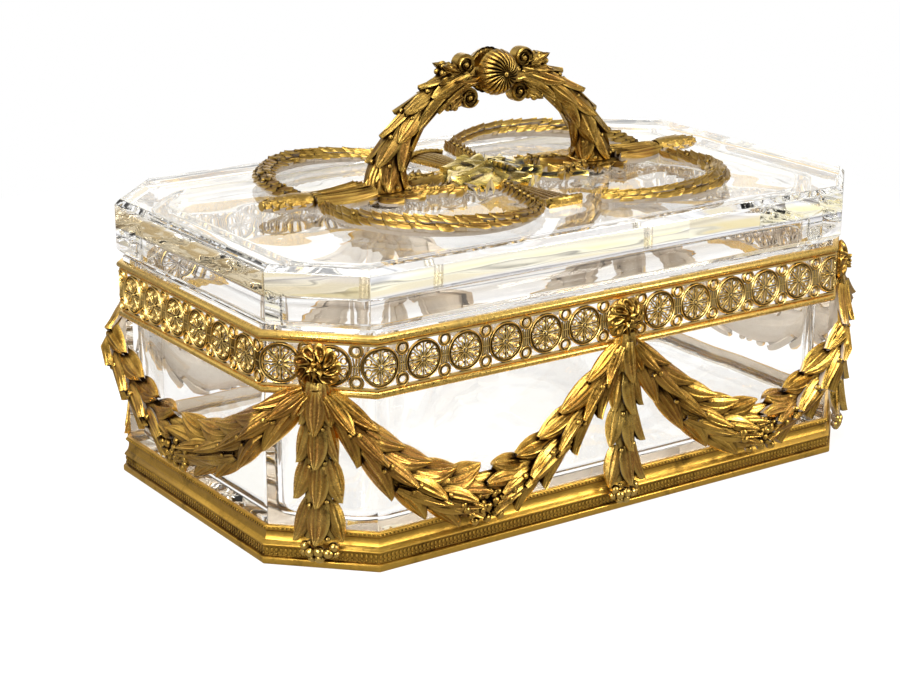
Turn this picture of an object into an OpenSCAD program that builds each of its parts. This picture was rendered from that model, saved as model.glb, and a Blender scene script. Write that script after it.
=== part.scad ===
// Crystal casket with a lift-off lid, dressed in gilt metal mounts.
// Millimetres, Z up. The origin is the middle of the base, on the table.
// The front long side faces -Y, and "outwards" is counted from the outer faces of the glass body.

/* [Glass body] */
// Outer length of the glass body
glass_len = 262.4; // [220:0.4:330]
// Outer width of the glass body
glass_wid = 161.2; // [140:0.4:210]
// Height of the seat on which the lid rests, above the table
seat_z = 86; // [76:0.5:110]
// Leg of the body's corner chamfers
glass_chamfer = 27.6; // [23:0.2:34]
// Thickness of the glass walls
wall = 10; // [8:0.5:12]
// Thickness of the glass floor
glass_floor = 11; // [8:0.5:14]
// Radius of the cavity's upright corners
cavity_r = 12; // [6:1:16]

/* [Glass lid] */
// Distance by which the lid stands past the body at its ends
lid_over_x = 0.8; // [0.4:0.1:2]
// Distance by which the lid stands past the body at its sides
lid_over_y = 1.2; // [0.4:0.1:2]
// Leg of the lid's corner chamfers
lid_chamfer = 25.6; // [20:0.2:32]
// Thickness of the lid above its seat
lid_h = 21; // [17:0.5:26]
// Width of the bevel round the lid's edges
lid_bevel = 2; // [1:0.25:3]
// Depth of the ring that drops into the cavity
plug_h = 4; // [2:0.5:6]
// Clearance between that ring and the cavity
plug_gap = 0.6; // [0.4:0.1:1.2]
// Thickness of that ring
plug_w = 5; // [4:0.5:7]
// Height of the recess under the lid, above the seat
recess_h = 7.5; // [7:0.5:9]

/* [Base moulding] */
// Height of the moulding
base_h = 14; // [12:0.5:18]
// Distance by which the moulding stands out from the glass
base_out = 3.1; // [2.6:0.1:4]
// Thickness of the ledge that carries the glass
ledge_t = 2.5; // [2:0.25:4]
// Width of that ledge under the glass
ledge_w = 6; // [4:0.5:9]

/* [Band] */
// Height of the middle of the lower rail
low_rail_z = 63.4; // [56:0.1:68]
// Height of the middle of the upper rail
high_rail_z = 82.6; // [72:0.1:106]
// Height of each rail
rail_h = 3; // [2.4:0.1:4]
// Depth of each rail
rail_d = 2.1; // [1.8:0.1:2.4]
// Thickness of the fretted strip
fret_t = 1.2; // [0.8:0.1:1.3]
// Number of wheels in the whole fretted strip
wheels = 46; // [40:1:52]
// Radius of a wheel
wheel_r = 7.3; // [6.5:0.1:7.6]

/* [Hanging ornaments] */
// Radius of a rosette
rosette_r = 9; // [7:0.25:10]
// Number of petals in a rosette
petals = 10; // [8:1:14]
// Radius of the screw that holds a rosette
screw_r = 1; // [0.8:0.1:1.2]
// Height of the middle of the long sides' swags at their lowest point
swag_low_long = 21; // [20:0.5:26]
// Height of the middle of the short sides' swags at their lowest point
swag_low_short = 30; // [24:0.5:34]
// Leaf rows in each half of a swag
swag_tiers = 5; // [4:1:7]
// Leaf rows in a pendant
pendant_tiers = 4; // [3:1:5]

/* [Lid mount and handle] */
// Distance from the middle to each handle stud
stud_x = 48; // [44:0.5:54]
// Radius of a handle stud
stud_r = 2; // [1.5:0.1:2.5]
// Thickness of the pad under each handle foot
pad_t = 3; // [2:0.25:4]
// Height of the handle's centre line above the pads
arch_rise = 40; // [34:0.5:46]
// Radius of the rosettes at the handle's crown
crown_r = 9; // [7:0.25:10]
// Reach of each torch from the middle to its tip
torch_tip = 101; // [96:0.5:112]
// Distance along the lid from the middle to a wreath's centre
wreath_x = 43; // [40:0.5:50]
// Distance across the lid from the middle to a wreath's centre
wreath_y = 22; // [18:0.5:26]
// Half length of a wreath's oval
wreath_rx = 38; // [34:0.5:42]
// Half width of a wreath's oval
wreath_ry = 42; // [36:0.5:44]

/* [Hidden] */

GILT = [0.80, 0.60, 0.22];
DARK_GILT = [0.62, 0.45, 0.16];
GLASS = [0.86, 0.92, 0.93, 0.45];
STEEL = [0.62, 0.60, 0.55];

// Clearances
air = 0.3;            // between ornaments that lie over or beside each other
glass_air = 0.15;     // between metal and the glass that it surrounds
thread_air = 0.2;     // round screws and studs

// A corner's leg grows by this much for each millimetre that an octagon grows
corner_growth = 2 - sqrt(2);

lid_len = glass_len + 2 * lid_over_x;
lid_wid = glass_wid + 2 * lid_over_y;
lid_top = seat_z + lid_h;
cavity_floor = ledge_t + glass_floor;
fret_low = low_rail_z + rail_h / 2;
fret_high = high_rail_z - rail_h / 2;
band_mid = (fret_low + fret_high) / 2;
fret_back = 2 * glass_air;
rail_out = glass_air + rail_d;

// Octagon with equal corners, grown outwards by g, counter-clockwise from the right front
function octagon(length, width, leg, g = 0) =
    let (a = length / 2 + g, b = width / 2 + g, c = leg + corner_growth * g)
    [[a, c - b], [a, b - c], [a - c, b], [c - a, b], [-a, b - c], [-a, c - b], [c - a, -b], [a - c, -b]];

function body_outline(g) = octagon(glass_len, glass_wid, glass_chamfer, g);
function lid_outline(g) = octagon(lid_len, lid_wid, lid_chamfer, g);

// The body's outline grown by g, with corners of radius r
function soft_outline(g, r, steps = 5) =
    let (core = body_outline(g - r))
    [for (i = [0:7], k = [0:steps]) core[i] + r * [cos(45 * (i - 1 + k / steps)), sin(45 * (i - 1 + k / steps))]];

function at_height(outline, z) = [for (p = outline) [p[0], p[1], z]];

// Solid through rings of equal length: capped at its ends, or joined into a loop
module loft(rings, loop = false) {
    n = len(rings[0]);
    m = len(rings);
    sides = [for (i = [0:(loop ? m : m - 1) - 1], k = [0:n - 1])
        let (j = (i + 1) % m, l = (k + 1) % n) [i * n + k, j * n + k, j * n + l, i * n + l]];
    caps = loop ? [] : [[for (k = [0:n - 1]) k], [for (k = [n - 1:-1:0]) (m - 1) * n + k]];
    polyhedron([for (r = rings) each r], concat(sides, caps));
}

// Moulding that runs round the glass: its profile is [outwards, height], listed clockwise
module moulding(profile)
    loft([for (i = [0:7]) [for (p = profile) concat(body_outline(p[0])[i], p[1])]], loop = true);

// Ring of a tube: a six-sided oval with flats at the top and bottom
ring_turn = [0:60:300];
function oval(center, across, up, half_across, half_up) =
    [for (t = ring_turn) center + across * half_across * cos(t) + up * half_up * sin(t)];
oval_flat = cos(30);    // how far an oval's flat lies from its centre, as a share of its half size

// Six corners of a pointed leaf: base, side, tip, side, ridge and keel
function leaf(base, tip, half, rise, drop, up) =
    let (run = tip - base, mid = base + 0.45 * run, side = cross(run, up) / norm(cross(run, up)))
    [base, mid + half * side, tip, mid - half * side, mid + rise * up, mid - drop * up];

module solid_leaf(p)
    hull() polyhedron(p, [[0, 1, 4], [1, 2, 4], [2, 3, 4], [3, 0, 4], [1, 0, 5], [2, 1, 5], [3, 2, 5], [0, 3, 5]]);

module berry(p, r) translate(p) sphere(r = r, $fn = 5);

// ---- Courses round the body ----

// The wall's plan, from the middle of the front round to the right and back again
function course(g) =
    let (o = body_outline(g))
    [[0, o[7][1]], o[7], o[0], o[1], o[2], [0, o[2][1]], o[3], o[4], o[5], o[6], [0, o[6][1]]];
wall_course = course(0);
marks = [for (i = 0, s = 0; i <= 10; s = s + (i < 10 ? norm(wall_course[i + 1] - wall_course[i]) : 0), i = i + 1) s];
round_trip = marks[10];

// A point of the flat front frame [along, -outwards, up], bent round the body
function wrap(p) =
    let (s = (p[0] + round_trip) % round_trip,
         i = max([for (k = [0:9]) if (marks[k] <= s) k]),
         f = (s - marks[i]) / (marks[i + 1] - marks[i]),
         here = course(-p[1]))
    concat(here[i] + f * (here[i + 1] - here[i]), p[2]);

// Six hanging points: middles of the long sides and of the corners, counted from the front
hang = [0, (marks[1] + marks[2]) / 2, (marks[3] + marks[4]) / 2,
        marks[5], (marks[6] + marks[7]) / 2, (marks[8] + marks[9]) / 2];
hang_turn = [0, 45, 135, 180, 225, 315];

// Puts a piece of the flat front frame at a hanging point
module at_hang(i) translate(wrap([hang[i], 0, 0])) rotate([0, 0, hang_turn[i]]) children();

// Sides of the octagon, counted as its corners are: middle, heading, and place along the course
function side_middle(i) = (body_outline(0)[i] + body_outline(0)[(i + 1) % 8]) / 2;
function side_length(i) = norm(body_outline(0)[i] - body_outline(0)[(i + 1) % 8]);
side_mark = [(marks[2] + marks[3]) / 2, hang[2], marks[5], hang[4], (marks[7] + marks[8]) / 2, hang[5], 0, hang[1]];

// ---- Glass ----

module glass_body() color(GLASS) difference() {
    translate([0, 0, ledge_t]) linear_extrude(seat_z - ledge_t) polygon(body_outline(0));
    translate([0, 0, cavity_floor]) linear_extrude(seat_z) polygon(soft_outline(-wall, cavity_r));
}

module glass_lid() color(GLASS) difference() {
    union() {
        loft([at_height(lid_outline(-lid_bevel), seat_z), at_height(lid_outline(0), seat_z + lid_bevel),
              at_height(lid_outline(0), lid_top - lid_bevel), at_height(lid_outline(-lid_bevel), lid_top)]);
        translate([0, 0, seat_z - plug_h]) linear_extrude(plug_h + recess_h / 2)
            polygon(soft_outline(-wall - plug_gap, cavity_r - plug_gap));
    }
    translate([0, 0, seat_z - plug_h - 1]) linear_extrude(plug_h + recess_h + 1)
        polygon(soft_outline(-wall - plug_gap - plug_w, cavity_r));
    for (s = [-1, 1]) translate([s * stud_x, 0, seat_z]) cylinder(h = lid_h + 1, r = stud_r + 2 * air);
}

// ---- Base and band ----

module base_moulding() {
    foot = 0.25 * base_h;         // plain fillet at the bottom
    leaf_top = 0.56 * base_h;     // top of the leaf-tip band
    hollow_top = 0.86 * base_h;   // top of the hollow moulding
    lip = base_out / 2;           // how far the top strip stands out
    color(GILT) moulding([
        [-ledge_w, 0], [-ledge_w, ledge_t], [glass_air, ledge_t], [glass_air, base_h], [lip - 0.3, base_h],
        [lip, base_h - 0.5], [lip, hollow_top + 0.4], [lip - 0.4, hollow_top], [lip - 0.3, hollow_top - 1.2],
        [lip + 0.3, leaf_top + 1.2], [base_out - 0.6, leaf_top + 0.4], [base_out - 0.2, leaf_top],
        [base_out - 0.1, (foot + leaf_top) / 2], [base_out - 0.5, foot + 0.5], [base_out, foot],
        [base_out, 0.8], [base_out - 0.5, 0]
    ]);
}

module band_rail(z) color(GILT)
    moulding([for (t = [90:-30:-90]) [glass_air + rail_d * cos(t), z + rail_h / 2 * sin(t)]]);

// One flat length of the fretted strip, mitred at its ends and pierced with wheels and links
module fret(i) {
    pitch = round_trip / wheels;
    half = side_length(i) / 2;
    in = body_outline(fret_back);
    out = body_outline(fret_back + fret_t);
    j = (i + 1) % 8;
    petal_ring = 0.6 * wheel_r;
    color(DARK_GILT) difference() {
        translate([0, 0, fret_low]) linear_extrude(fret_high - fret_low) polygon([in[i], out[i], out[j], in[j]]);
        translate(concat(side_middle(i), band_mid)) rotate([90, 0, 90 + 45 * i])
            for (k = [0:wheels - 1]) {
                along = (k * pitch - side_mark[i] + 1.5 * round_trip) % round_trip - round_trip / 2;
                for (t = [0:45:315]) {
                    x = along + petal_ring * sin(t);
                    if (abs(x) < half - 2.2 && (norm([x, petal_ring * cos(t)]) > screw_r + 3.2 || i == 0 || i == 4))
                        translate([x, petal_ring * cos(t), 0]) cylinder(h = 3 * fret_t, r = 0.19 * wheel_r);
                }
                link = along + pitch / 2;
                if (abs(link) < half - 2.5 && (abs(link) > screw_r + 2.5 || i == 0 || i == 4))
                    for (z = [-1, 1]) {
                        translate([link, z * (wheel_r - 1.3), 0]) cylinder(h = 3 * fret_t, r = 1.3);
                        translate([link + z * 0.8 - 0.3, -wheel_r / 2, 0]) cube([0.6, wheel_r, 3 * fret_t]);
                    }
            }
        if (i != 0 && i != 4) translate(concat(side_middle(i), band_mid)) rotate([90, 0, 90 + 45 * i])
            cylinder(h = 3 * fret_t, r = screw_r + thread_air);
    }
}

// ---- Rosettes, pendants and swags ----

rosette_back = fret_back + fret_t + air;    // where a rosette's back lies, outwards from the glass
rosette_t = 4.9;                  // depth of a rosette
pendant_back = base_out + air;
swag_back = rail_out + air;
knot_z = band_mid - rosette_r - air;    // top of the pendants, just under the rosettes
floor_gap = 4;                    // height of the pendants' lowest berries

// Rosette that faces -Y, with its back on y = 0 and a hole for its screw
module rosette(r, hole) difference() {
    union() {
        rotate([90, 0, 0]) cylinder(h = rosette_t / 2, r = r - 1.2, $fn = 24);
        for (k = [0:petals - 1]) rotate([0, (k + 0.5) * 360 / petals, 0])
            solid_leaf(leaf([1.6, -1.1, 0], [r, -1.1, 0], 0.3 * r, rosette_t - 1.1, 1, [0, -1, 0]));
    }
    if (hole > 0) rotate([90, 0, 0]) cylinder(h = 3 * rosette_t, r = hole, center = true, $fn = 20);
}

module wall_rosette(i) color(GILT) at_hang(i)
    translate([0, -rosette_back, band_mid]) rosette(rosette_r, screw_r + thread_air);

module rosette_screws() {
    head = rosette_back + rosette_t / 2 + 1;
    color(GILT) for (i = [0:5]) at_hang(i) translate([0, 0, band_mid]) rotate([90, 0, 0]) {
        translate([0, 0, fret_back]) cylinder(h = head - fret_back + 0.5, r = screw_r);
        translate([0, 0, head]) rotate_extrude($fn = 32)
            polygon([[0, 0], [2.1, 0], for (t = [0:15:90]) [2.1 * cos(t), 0.3 + 1.1 * sin(t)]]);
    }
}

// Chain of leaf rows that hangs from a rosette down to the base moulding
module pendant(i) {
    berry_r = 2;
    berry_z = floor_gap + berry_r;
    low_tip = berry_z + 4;
    step = (knot_z - 13 - low_tip) / (pendant_tiers - 1);
    color(GILT) at_hang(i) translate([0, -pendant_back, 0]) {
        loft([for (f = [0:0.25:1]) oval([0, -1.6, berry_z + 3 + f * (knot_z - berry_z - 3)],
            [1, 0, 0], [0, 1, 0], 2 + 2 * (1 - f), 1.6 / oval_flat)]);
        for (k = [0:pendant_tiers - 1], s = [-1, 1, 0]) {
            tip_z = low_tip + k * step;
            fan_out = 8 - 3.4 * k / (pendant_tiers - 1);
            solid_leaf(leaf([s * 0.8, s == 0 ? -2.4 : -1.4, min(tip_z + step + 3, knot_z - 0.5)],
                [s * fan_out, s == 0 ? -4 : -2.2, tip_z + abs(s)], 2.6 - 0.2 * k, 1.2, 1.2, [0, -1, 0]));
        }
        for (row = [0:1], c = [0:row]) berry([(c - row / 2) * 3.6, -berry_r, berry_z + row * 3], berry_r);
    }
}

swag_top = 69;      // height at which the curve of a swag would meet its hanging point
swag_end = 0.925;   // share of each half span that the swag fills
function swag_spot(middle, reach, low, t, off = 0, out = 0) =
    let (dip = swag_top - low, slope = [-2 * dip * t, reach] / norm([-2 * dip * t, reach]))
    [middle + reach * t + off * slope[0], -swag_back - out, low + dip * t * t + off * slope[1]];
function swag_depth(t) = 1.4 + 0.9 * (1 - abs(t));    // half depth of the core
function swag_half(t) = 1.8 + 4.4 * (1 - abs(t));     // half height of the core

// Garland from one hanging point to the next, thickest in the middle
module swag(i, low) {
    from = hang[i];
    to = i == 5 ? round_trip : hang[i + 1];
    middle = (from + to) / 2;
    reach = (to - from) / 2;
    step = swag_end / (swag_tiers + 0.3);
    color(GILT) difference() {
        union() {
            loft([for (k = [-5:5]) let (t = swag_end * k / 5)
                [for (a = ring_turn) wrap(swag_spot(middle, reach, low, t,
                    swag_half(t) * cos(a), swag_depth(t) * (1 + sin(a) / oval_flat)))]]);
            for (k = [0:swag_tiers - 1], side = [-1, 1], s = [-1, 1, 0]) {
                t0 = side * (swag_end - k * step);
                t1 = side * (swag_end - (k + 1.45) * step);
                tip_off = s * (swag_half(t1) + 2.6);
                solid_leaf([for (p = leaf(
                    swag_spot(middle, reach, low, t0, s * swag_half(t0) * 0.5, swag_depth(t0) * (2 - abs(s))),
                    swag_spot(middle, reach, low, t1, tip_off, swag_depth(t1) * (2 - 0.8 * abs(s)) + 1),
                    2.6 + 0.35 * k, 1, 1.2, [0, -1, 0])) wrap(p)]);
            }
            for (row = [0:1], c = [0:row])
                berry(wrap([middle + (c - row / 2) * 4, -swag_back - 2 * swag_depth(0) - 0.4, low - 7 + row * 3.4]), 2.1);
        }
        // room for the pendants, which widen as they fall
        for (h = [i, (i + 1) % 6]) at_hang(h) translate([0, -pendant_back + 3, 0]) rotate([90, 0, 0])
            linear_extrude(20) polygon([[-3.3, knot_z + 9], [3.3, knot_z + 9], [3.3, knot_z - 4],
                [8.9, berry_low()], [-8.9, berry_low()], [-3.3, knot_z - 4]]);
        // room for the rosettes
        for (h = [i, (i + 1) % 6]) at_hang(h) translate([0, 0, band_mid]) rotate([90, 0, 0])
            cylinder(h = 20, r = rosette_r + air, $fn = 32);
    }
}
function berry_low() = floor_gap + 4;

// ---- Lid mount ----

// Quarter of the mount that the wreaths share: angle along the oval, from the torch to the fan
wreath_from = -20;
wreath_to = 138;
function wreath_r(t) = 1.9 + 1.1 * sin(180 * min(1, t * 1.15));
function wreath_spot(t, off = 0, up = 0) =
    let (a = wreath_from + (wreath_to - wreath_from) * t,
         out = [cos(a) / wreath_rx, sin(a) / wreath_ry] / norm([cos(a) / wreath_rx, sin(a) / wreath_ry]))
    [wreath_x + wreath_rx * cos(a) + off * out[0], wreath_y + wreath_ry * sin(a) + off * out[1], lid_top + up];

// Laurel wreath that lies on the lid, with a ribbed limb to the middle where one is asked for
module wreath(limb) {
    rows = 9;
    union() {
        loft([for (k = [0:12]) let (t = k / 12, r = wreath_r(t))
            [for (a = ring_turn) wreath_spot(t, -r * cos(a), r * (sin(a) + oval_flat))]]);
        for (k = [0:rows - 1], s = [-1, 1, 0]) {
            t0 = min(1, (k + 1.3) / rows);
            t1 = max(0, k / rows);
            r = wreath_r(t1);
            solid_leaf(leaf(wreath_spot(t0, s * r * 0.4, r * (1.7 - 0.6 * abs(s))),
                wreath_spot(t1, s * (r + 1.4), r * (2.1 - 1.1 * abs(s))), r * 0.75, 0.8, 0.9, [0, 0, 1]));
        }
        if (limb) {
            // beaded limb, which runs in under the end of the wreath
            start = [7.2, 18.5, lid_top];
            run = wreath_spot(0.99) - start;
            across = cross([0, 0, 1], run) / norm(run);
            loft([for (k = [0:14]) let (r = 1.7 + 0.7 * (k % 2))
                oval(start + run * k / 14 + [0, 0, r * oval_flat], across, [0, 0, 1], 1.3 * r, r)]);
        }
    }
}

module place_wreath(sx, sy, limb) color(GILT)
    mirror([sx < 0 ? 1 : 0, 0, 0]) mirror([0, sy < 0 ? 1 : 0, 0]) wreath(limb);

// Ribbed palmette between the two wreaths of one side, along +Y
module fan() color(GILT) translate([0, 0, lid_top]) {
    inner = 15.5;
    outer = 48;
    hull() {
        translate([-2.6, inner, 0]) cube([5.2, 1, 2]);
        translate([-7.4, outer - 3, 0]) cube([14.8, 2, 2]);
    }
    for (k = [-3:3]) solid_leaf(leaf([k * 0.6, inner, 2], [k * 2.4, outer + 1 - abs(k), 2], 1.4, 1.6, 1.6, [0, 0, 1]));
}

// Torch along +X: pinecone, knot, fluted cup, pad for the handle's foot, and a scrolled arm
module torch() color(GILT) {
    cone_from = torch_tip - 19;
    arm_from = 21.5;
    difference() {
        translate([0, 0, lid_top]) {
            loft([for (p = [[0, 2.2], [0.2, 3.6], [0.5, 4.1], [0.8, 3.2], [1, 1]])
                oval([cone_from + p[0] * (torch_tip - cone_from), 0, 4.1 * oval_flat], [0, 1, 0], [0, 0, 1], p[1], p[1])]);
            for (row = [0:2], k = [0:4]) let (a = 72 * k + 36 * row - 18)
                if (sin(a) > -0.5) solid_leaf(leaf(
                    [cone_from + 5 * row, 2.8 * cos(a), 3.8 + 2.8 * sin(a)],
                    [cone_from + 7 + 5 * row, 4.4 * cos(a), 3.8 + 4.4 * sin(a)], 1.8, 0.7, 0.7, [0, cos(a), sin(a)]));
            // knot and fluted cup
            hull() for (x = [cone_from - 3, cone_from]) translate([x, 0, 2.6]) sphere(r = 2.7, $fn = 6);
            for (k = [-3:3]) solid_leaf(leaf([cone_from - 2, k * 0.8, 2.4], [stud_x + 10, k * 2.8, 3], 2.2, 1.6, 2.3, [0, 0, 1]));
            // pad
            hull() for (s = [-1, 1]) translate([stud_x + s * 4, 0, 0]) cylinder(h = pad_t, r = 10, $fn = 20);
            // scrolled arm
            hull() {
                translate([stud_x - 12, -7, 0]) cube([2, 14, 2.4]);
                translate([arm_from, -3, 0]) cube([2, 6, 3.4]);
            }
            for (s = [-1, 1]) {
                hull() for (p = [[stud_x - 10, 8], [28, 12]]) translate([p[0], s * p[1], 2]) sphere(r = 2, $fn = 6);
                translate([26.5, s * 11.6, 2.8]) sphere(r = 2.8, $fn = 6);
                solid_leaf(leaf([stud_x - 6, s * 3, 3], [arm_from + 1, s * 8, 3.4], 3.4, 1.4, 2.6, [0, 0, 1]));
                solid_leaf(leaf([stud_x + 8, s * 6, 2], [stud_x + 3, s * 16, 3], 2.4, 0.8, 1.4, [0, 0, 1]));
            }
        }
        translate([stud_x, 0, lid_top - 1]) cylinder(h = pad_t + 20, r = stud_r + thread_air, $fn = 24);
        // the handle's foot stands on the flat top of the pad
        translate([stud_x - 9, -7, lid_top + pad_t]) cube([18, 14, 10]);
    }
}

// Domed cluster of leaves in the middle of the lid
module lid_center_leaves() color(DARK_GILT) translate([0, 0, lid_top]) {
    cylinder(h = 4.4, r1 = 10, r2 = 5, $fn = 16);
    for (k = [0:7]) rotate([0, 0, 45 * k + 22.5])
        solid_leaf(leaf([1, 0, 5.6], [17.5, 0, 1.6], 5.2, 1.6, 2.2, [0.3, 0, 1]));
    for (k = [0:3]) rotate([0, 0, 90 * k])
        solid_leaf(leaf([0, 0, 6.4], [12.5, 0, 5], 4, 1.2, 2.4, [0.2, 0, 1]));
}

// ---- Handle ----

foot_z = lid_top + pad_t;
arch_rx = stud_x + 0.8;
function arch_spot(a, off = 0, y = 0) =
    let (out = [arch_rise * cos(a), arch_rx * sin(a)] / norm([arch_rise * cos(a), arch_rx * sin(a)]))
    [(arch_rx * cos(a)) + off * out[0], y, foot_z + arch_rise * sin(a) + off * out[1]];
function arch_half(a) = 3.7 + 3.3 * pow(abs(cos(a)), 14) + 0.9 * pow(abs(sin(2 * a)), 2);    // in the arch's plane
function arch_depth(a) = 3.1 + 1.8 * pow(abs(cos(a)), 6);                                     // across that plane

module handle_arch() {
    rows = 4;
    row_step = 17;
    crown_z = foot_z + arch_rise;
    color(GILT) difference() {
        union() {
            loft([for (k = [0:16]) let (a = 180 * k / 16)
                [for (t = ring_turn) arch_spot(a, arch_half(a) * cos(t), arch_depth(a) * sin(t))]]);
            for (side = [0, 1]) mirror([side, 0, 0]) {
                for (k = [0:rows - 1], q = [0:3]) {
                    a0 = 14 + row_step * k + (q % 2) * 3;
                    a1 = a0 - row_step + 1;
                    c = [1, 0, -1, 0][q];
                    d = [0, 1, 0, -1][q];
                    solid_leaf(leaf(arch_spot(a0, 0.7 * c * arch_half(a0), 0.7 * d * arch_depth(a0)),
                        arch_spot(a1, c * (arch_half(a1) + 0.9), d * (arch_depth(a1) + 0.7)), 2.9, 0.9, 1.6,
                        c == 0 ? [0, d, 0] : c * (arch_spot(a0, 1) - arch_spot(a0, 0))));
                }
                // two volutes beside the crown
                for (p = [[13.2, 3.6, 4.4], [11.2, -8.4, 4.2]]) translate([p[0], 0, crown_z + p[1]]) rotate([90, 0, 0]) {
                    cylinder(h = 6, r = p[2], center = true, $fn = 16);
                    cylinder(h = 8, r = p[2] / 3, center = true, $fn = 8);
                }
            }
        }
        for (s = [-1, 1]) translate([s * stud_x, 0, foot_z - 1]) cylinder(h = 8, r = stud_r + thread_air, $fn = 24);
        translate([-arch_rx - 20, -20, foot_z - 30]) cube([2 * arch_rx + 40, 40, 30]);
    }
}

module crown_rosette(turn) color(GILT) rotate([0, 0, turn])
    translate([0, -arch_depth(90) * oval_flat - air, foot_z + arch_rise]) rosette(crown_r, 0);

module handle_studs() color(STEEL) for (s = [-1, 1])
    translate([s * stud_x, 0, seat_z + 1]) cylinder(h = foot_z + 6.5 - seat_z - 1, r = stud_r);

washer_t = 1.2;
module handle_washers() color(STEEL) for (s = [-1, 1])
    translate([s * stud_x, 0, seat_z + recess_h - washer_t]) difference() {
        cylinder(h = washer_t, r = stud_r + 3.5);
        translate([0, 0, -1]) cylinder(h = washer_t + 2, r = stud_r + thread_air);
    }

module handle_nuts() color(STEEL) for (s = [-1, 1])
    translate([s * stud_x, 0, seat_z + recess_h - washer_t - 3]) difference() {
        cylinder(h = 3, r = stud_r + 2.2, $fn = 6);
        translate([0, 0, -1]) cylinder(h = 5, r = stud_r + thread_air / 2);
    }

glass_body();
glass_lid();
base_moulding();
band_rail(low_rail_z);  // band_lower_rail
band_rail(high_rail_z);  // band_upper_rail
fret(0);  // fret_right
fret(1);  // fret_corner_back_right
fret(2);  // fret_back
fret(3);  // fret_corner_back_left
fret(4);  // fret_left
fret(5);  // fret_corner_front_left
fret(6);  // fret_front
fret(7);  // fret_corner_front_right
wall_rosette(0);  // rosette_front
wall_rosette(1);  // rosette_front_right
wall_rosette(2);  // rosette_back_right
wall_rosette(3);  // rosette_back
wall_rosette(4);  // rosette_back_left
wall_rosette(5);  // rosette_front_left
pendant(0);  // pendant_front
pendant(1);  // pendant_front_right
pendant(2);  // pendant_back_right
pendant(3);  // pendant_back
pendant(4);  // pendant_back_left
pendant(5);  // pendant_front_left
swag(0, swag_low_long);  // swag_front_right
swag(1, swag_low_short);  // swag_right
swag(2, swag_low_long);  // swag_back_right
swag(3, swag_low_long);  // swag_back_left
swag(4, swag_low_short);  // swag_left
swag(5, swag_low_long);  // swag_front_left
rosette_screws();
lid_center_leaves();
mirror([1, 0, 0]) torch();  // lid_torch_left
torch();  // lid_torch_right
place_wreath(-1, -1, true);  // lid_wreath_front_left
place_wreath(1, -1, false);  // lid_wreath_front_right
place_wreath(-1, 1, false);  // lid_wreath_back_left
place_wreath(1, 1, true);  // lid_wreath_back_right
mirror([0, 1, 0]) fan();  // lid_fan_front
fan();  // lid_fan_back
handle_arch();
crown_rosette(0);  // handle_rosette_front
crown_rosette(180);  // handle_rosette_back
handle_studs();
handle_washers();
handle_nuts();
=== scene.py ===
# %% [markdown]
# # A glass casket in gilt mounts
# The casket is a thick block of cut glass with a loose glass lid. Gilt bronze mounts dress it: a base
# moulding, a pierced band between two rails, rosettes with pendants and swags, and a leafy handle on a
# wreathed lid mount. The frame holds every piece at its real size and place. This notebook gives each
# piece its look: it rebuilds the cast ornaments leaf by leaf, and paints every surface with a procedural
# finish.

# %% Load the frame
import bisect
import math
import random

import bmesh
import bpy
from mathutils import Matrix, Vector


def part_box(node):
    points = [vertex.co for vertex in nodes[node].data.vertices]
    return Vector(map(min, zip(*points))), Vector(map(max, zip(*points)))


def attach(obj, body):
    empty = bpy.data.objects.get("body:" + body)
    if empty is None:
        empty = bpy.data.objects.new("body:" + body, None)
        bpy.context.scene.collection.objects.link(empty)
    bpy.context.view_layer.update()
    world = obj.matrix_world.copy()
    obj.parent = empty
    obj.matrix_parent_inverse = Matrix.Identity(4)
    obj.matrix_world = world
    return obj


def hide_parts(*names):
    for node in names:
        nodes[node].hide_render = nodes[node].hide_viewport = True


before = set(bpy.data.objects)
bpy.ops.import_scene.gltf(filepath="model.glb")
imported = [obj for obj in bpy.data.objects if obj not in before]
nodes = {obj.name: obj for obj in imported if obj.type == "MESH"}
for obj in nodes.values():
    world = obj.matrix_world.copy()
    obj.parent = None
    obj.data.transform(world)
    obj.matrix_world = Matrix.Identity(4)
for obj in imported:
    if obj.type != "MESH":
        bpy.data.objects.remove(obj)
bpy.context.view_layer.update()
MM = 0.001

# %% [markdown]
# ## Measures
# Sizes are in millimetres here, and a finished piece is scaled to metres once. They are read from the
# frame, so that a piece lands where its plain stand-in is. The glass body's plan is an octagon with equal
# corners. Moving its sides outwards by one millimetre makes a corner's leg grow by two minus the square
# root of two.

# %% Read the sizes off the frame
def span(node):
    """Lowest and highest corner of a node of the frame, in millimetres."""
    low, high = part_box(node)
    return Vector(low) / MM, Vector(high) / MM


def corner_leg(node):
    """Leg of the corner chamfers of an eight-sided node, from its outermost points."""
    points = [v.co / MM for v in nodes[node].data.vertices]
    side = max(p.x for p in points)
    return max(p.y for p in points) - max(p.y for p in points if p.x > side - 0.01)


CORNER_GROWTH = 2 - math.sqrt(2)
glass_low, glass_high = span("glass_body")
lid_high = span("glass_lid")[1]
seat_z, lid_top = glass_high.z, lid_high.z
body_plan = (glass_high.x, glass_high.y, corner_leg("glass_body"))
lid_plan = (lid_high.x, lid_high.y, corner_leg("glass_lid"))
print("glass", [round(v, 2) for v in body_plan], "lid", [round(v, 2) for v in lid_plan])
print("seat", round(seat_z, 2), "lid top", round(lid_top, 2))


# %% [markdown]
# ## Walking round the body
# Band, swags and pendants are easiest to draw flat, as if the wall were one long strip: `x` runs along
# the wall from the middle of the front, `-y` stands out from the glass, and `z` is up. `wrap` then bends
# such a strip round the octagon, corners and all, as a metalworker bends the real strip.

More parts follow.
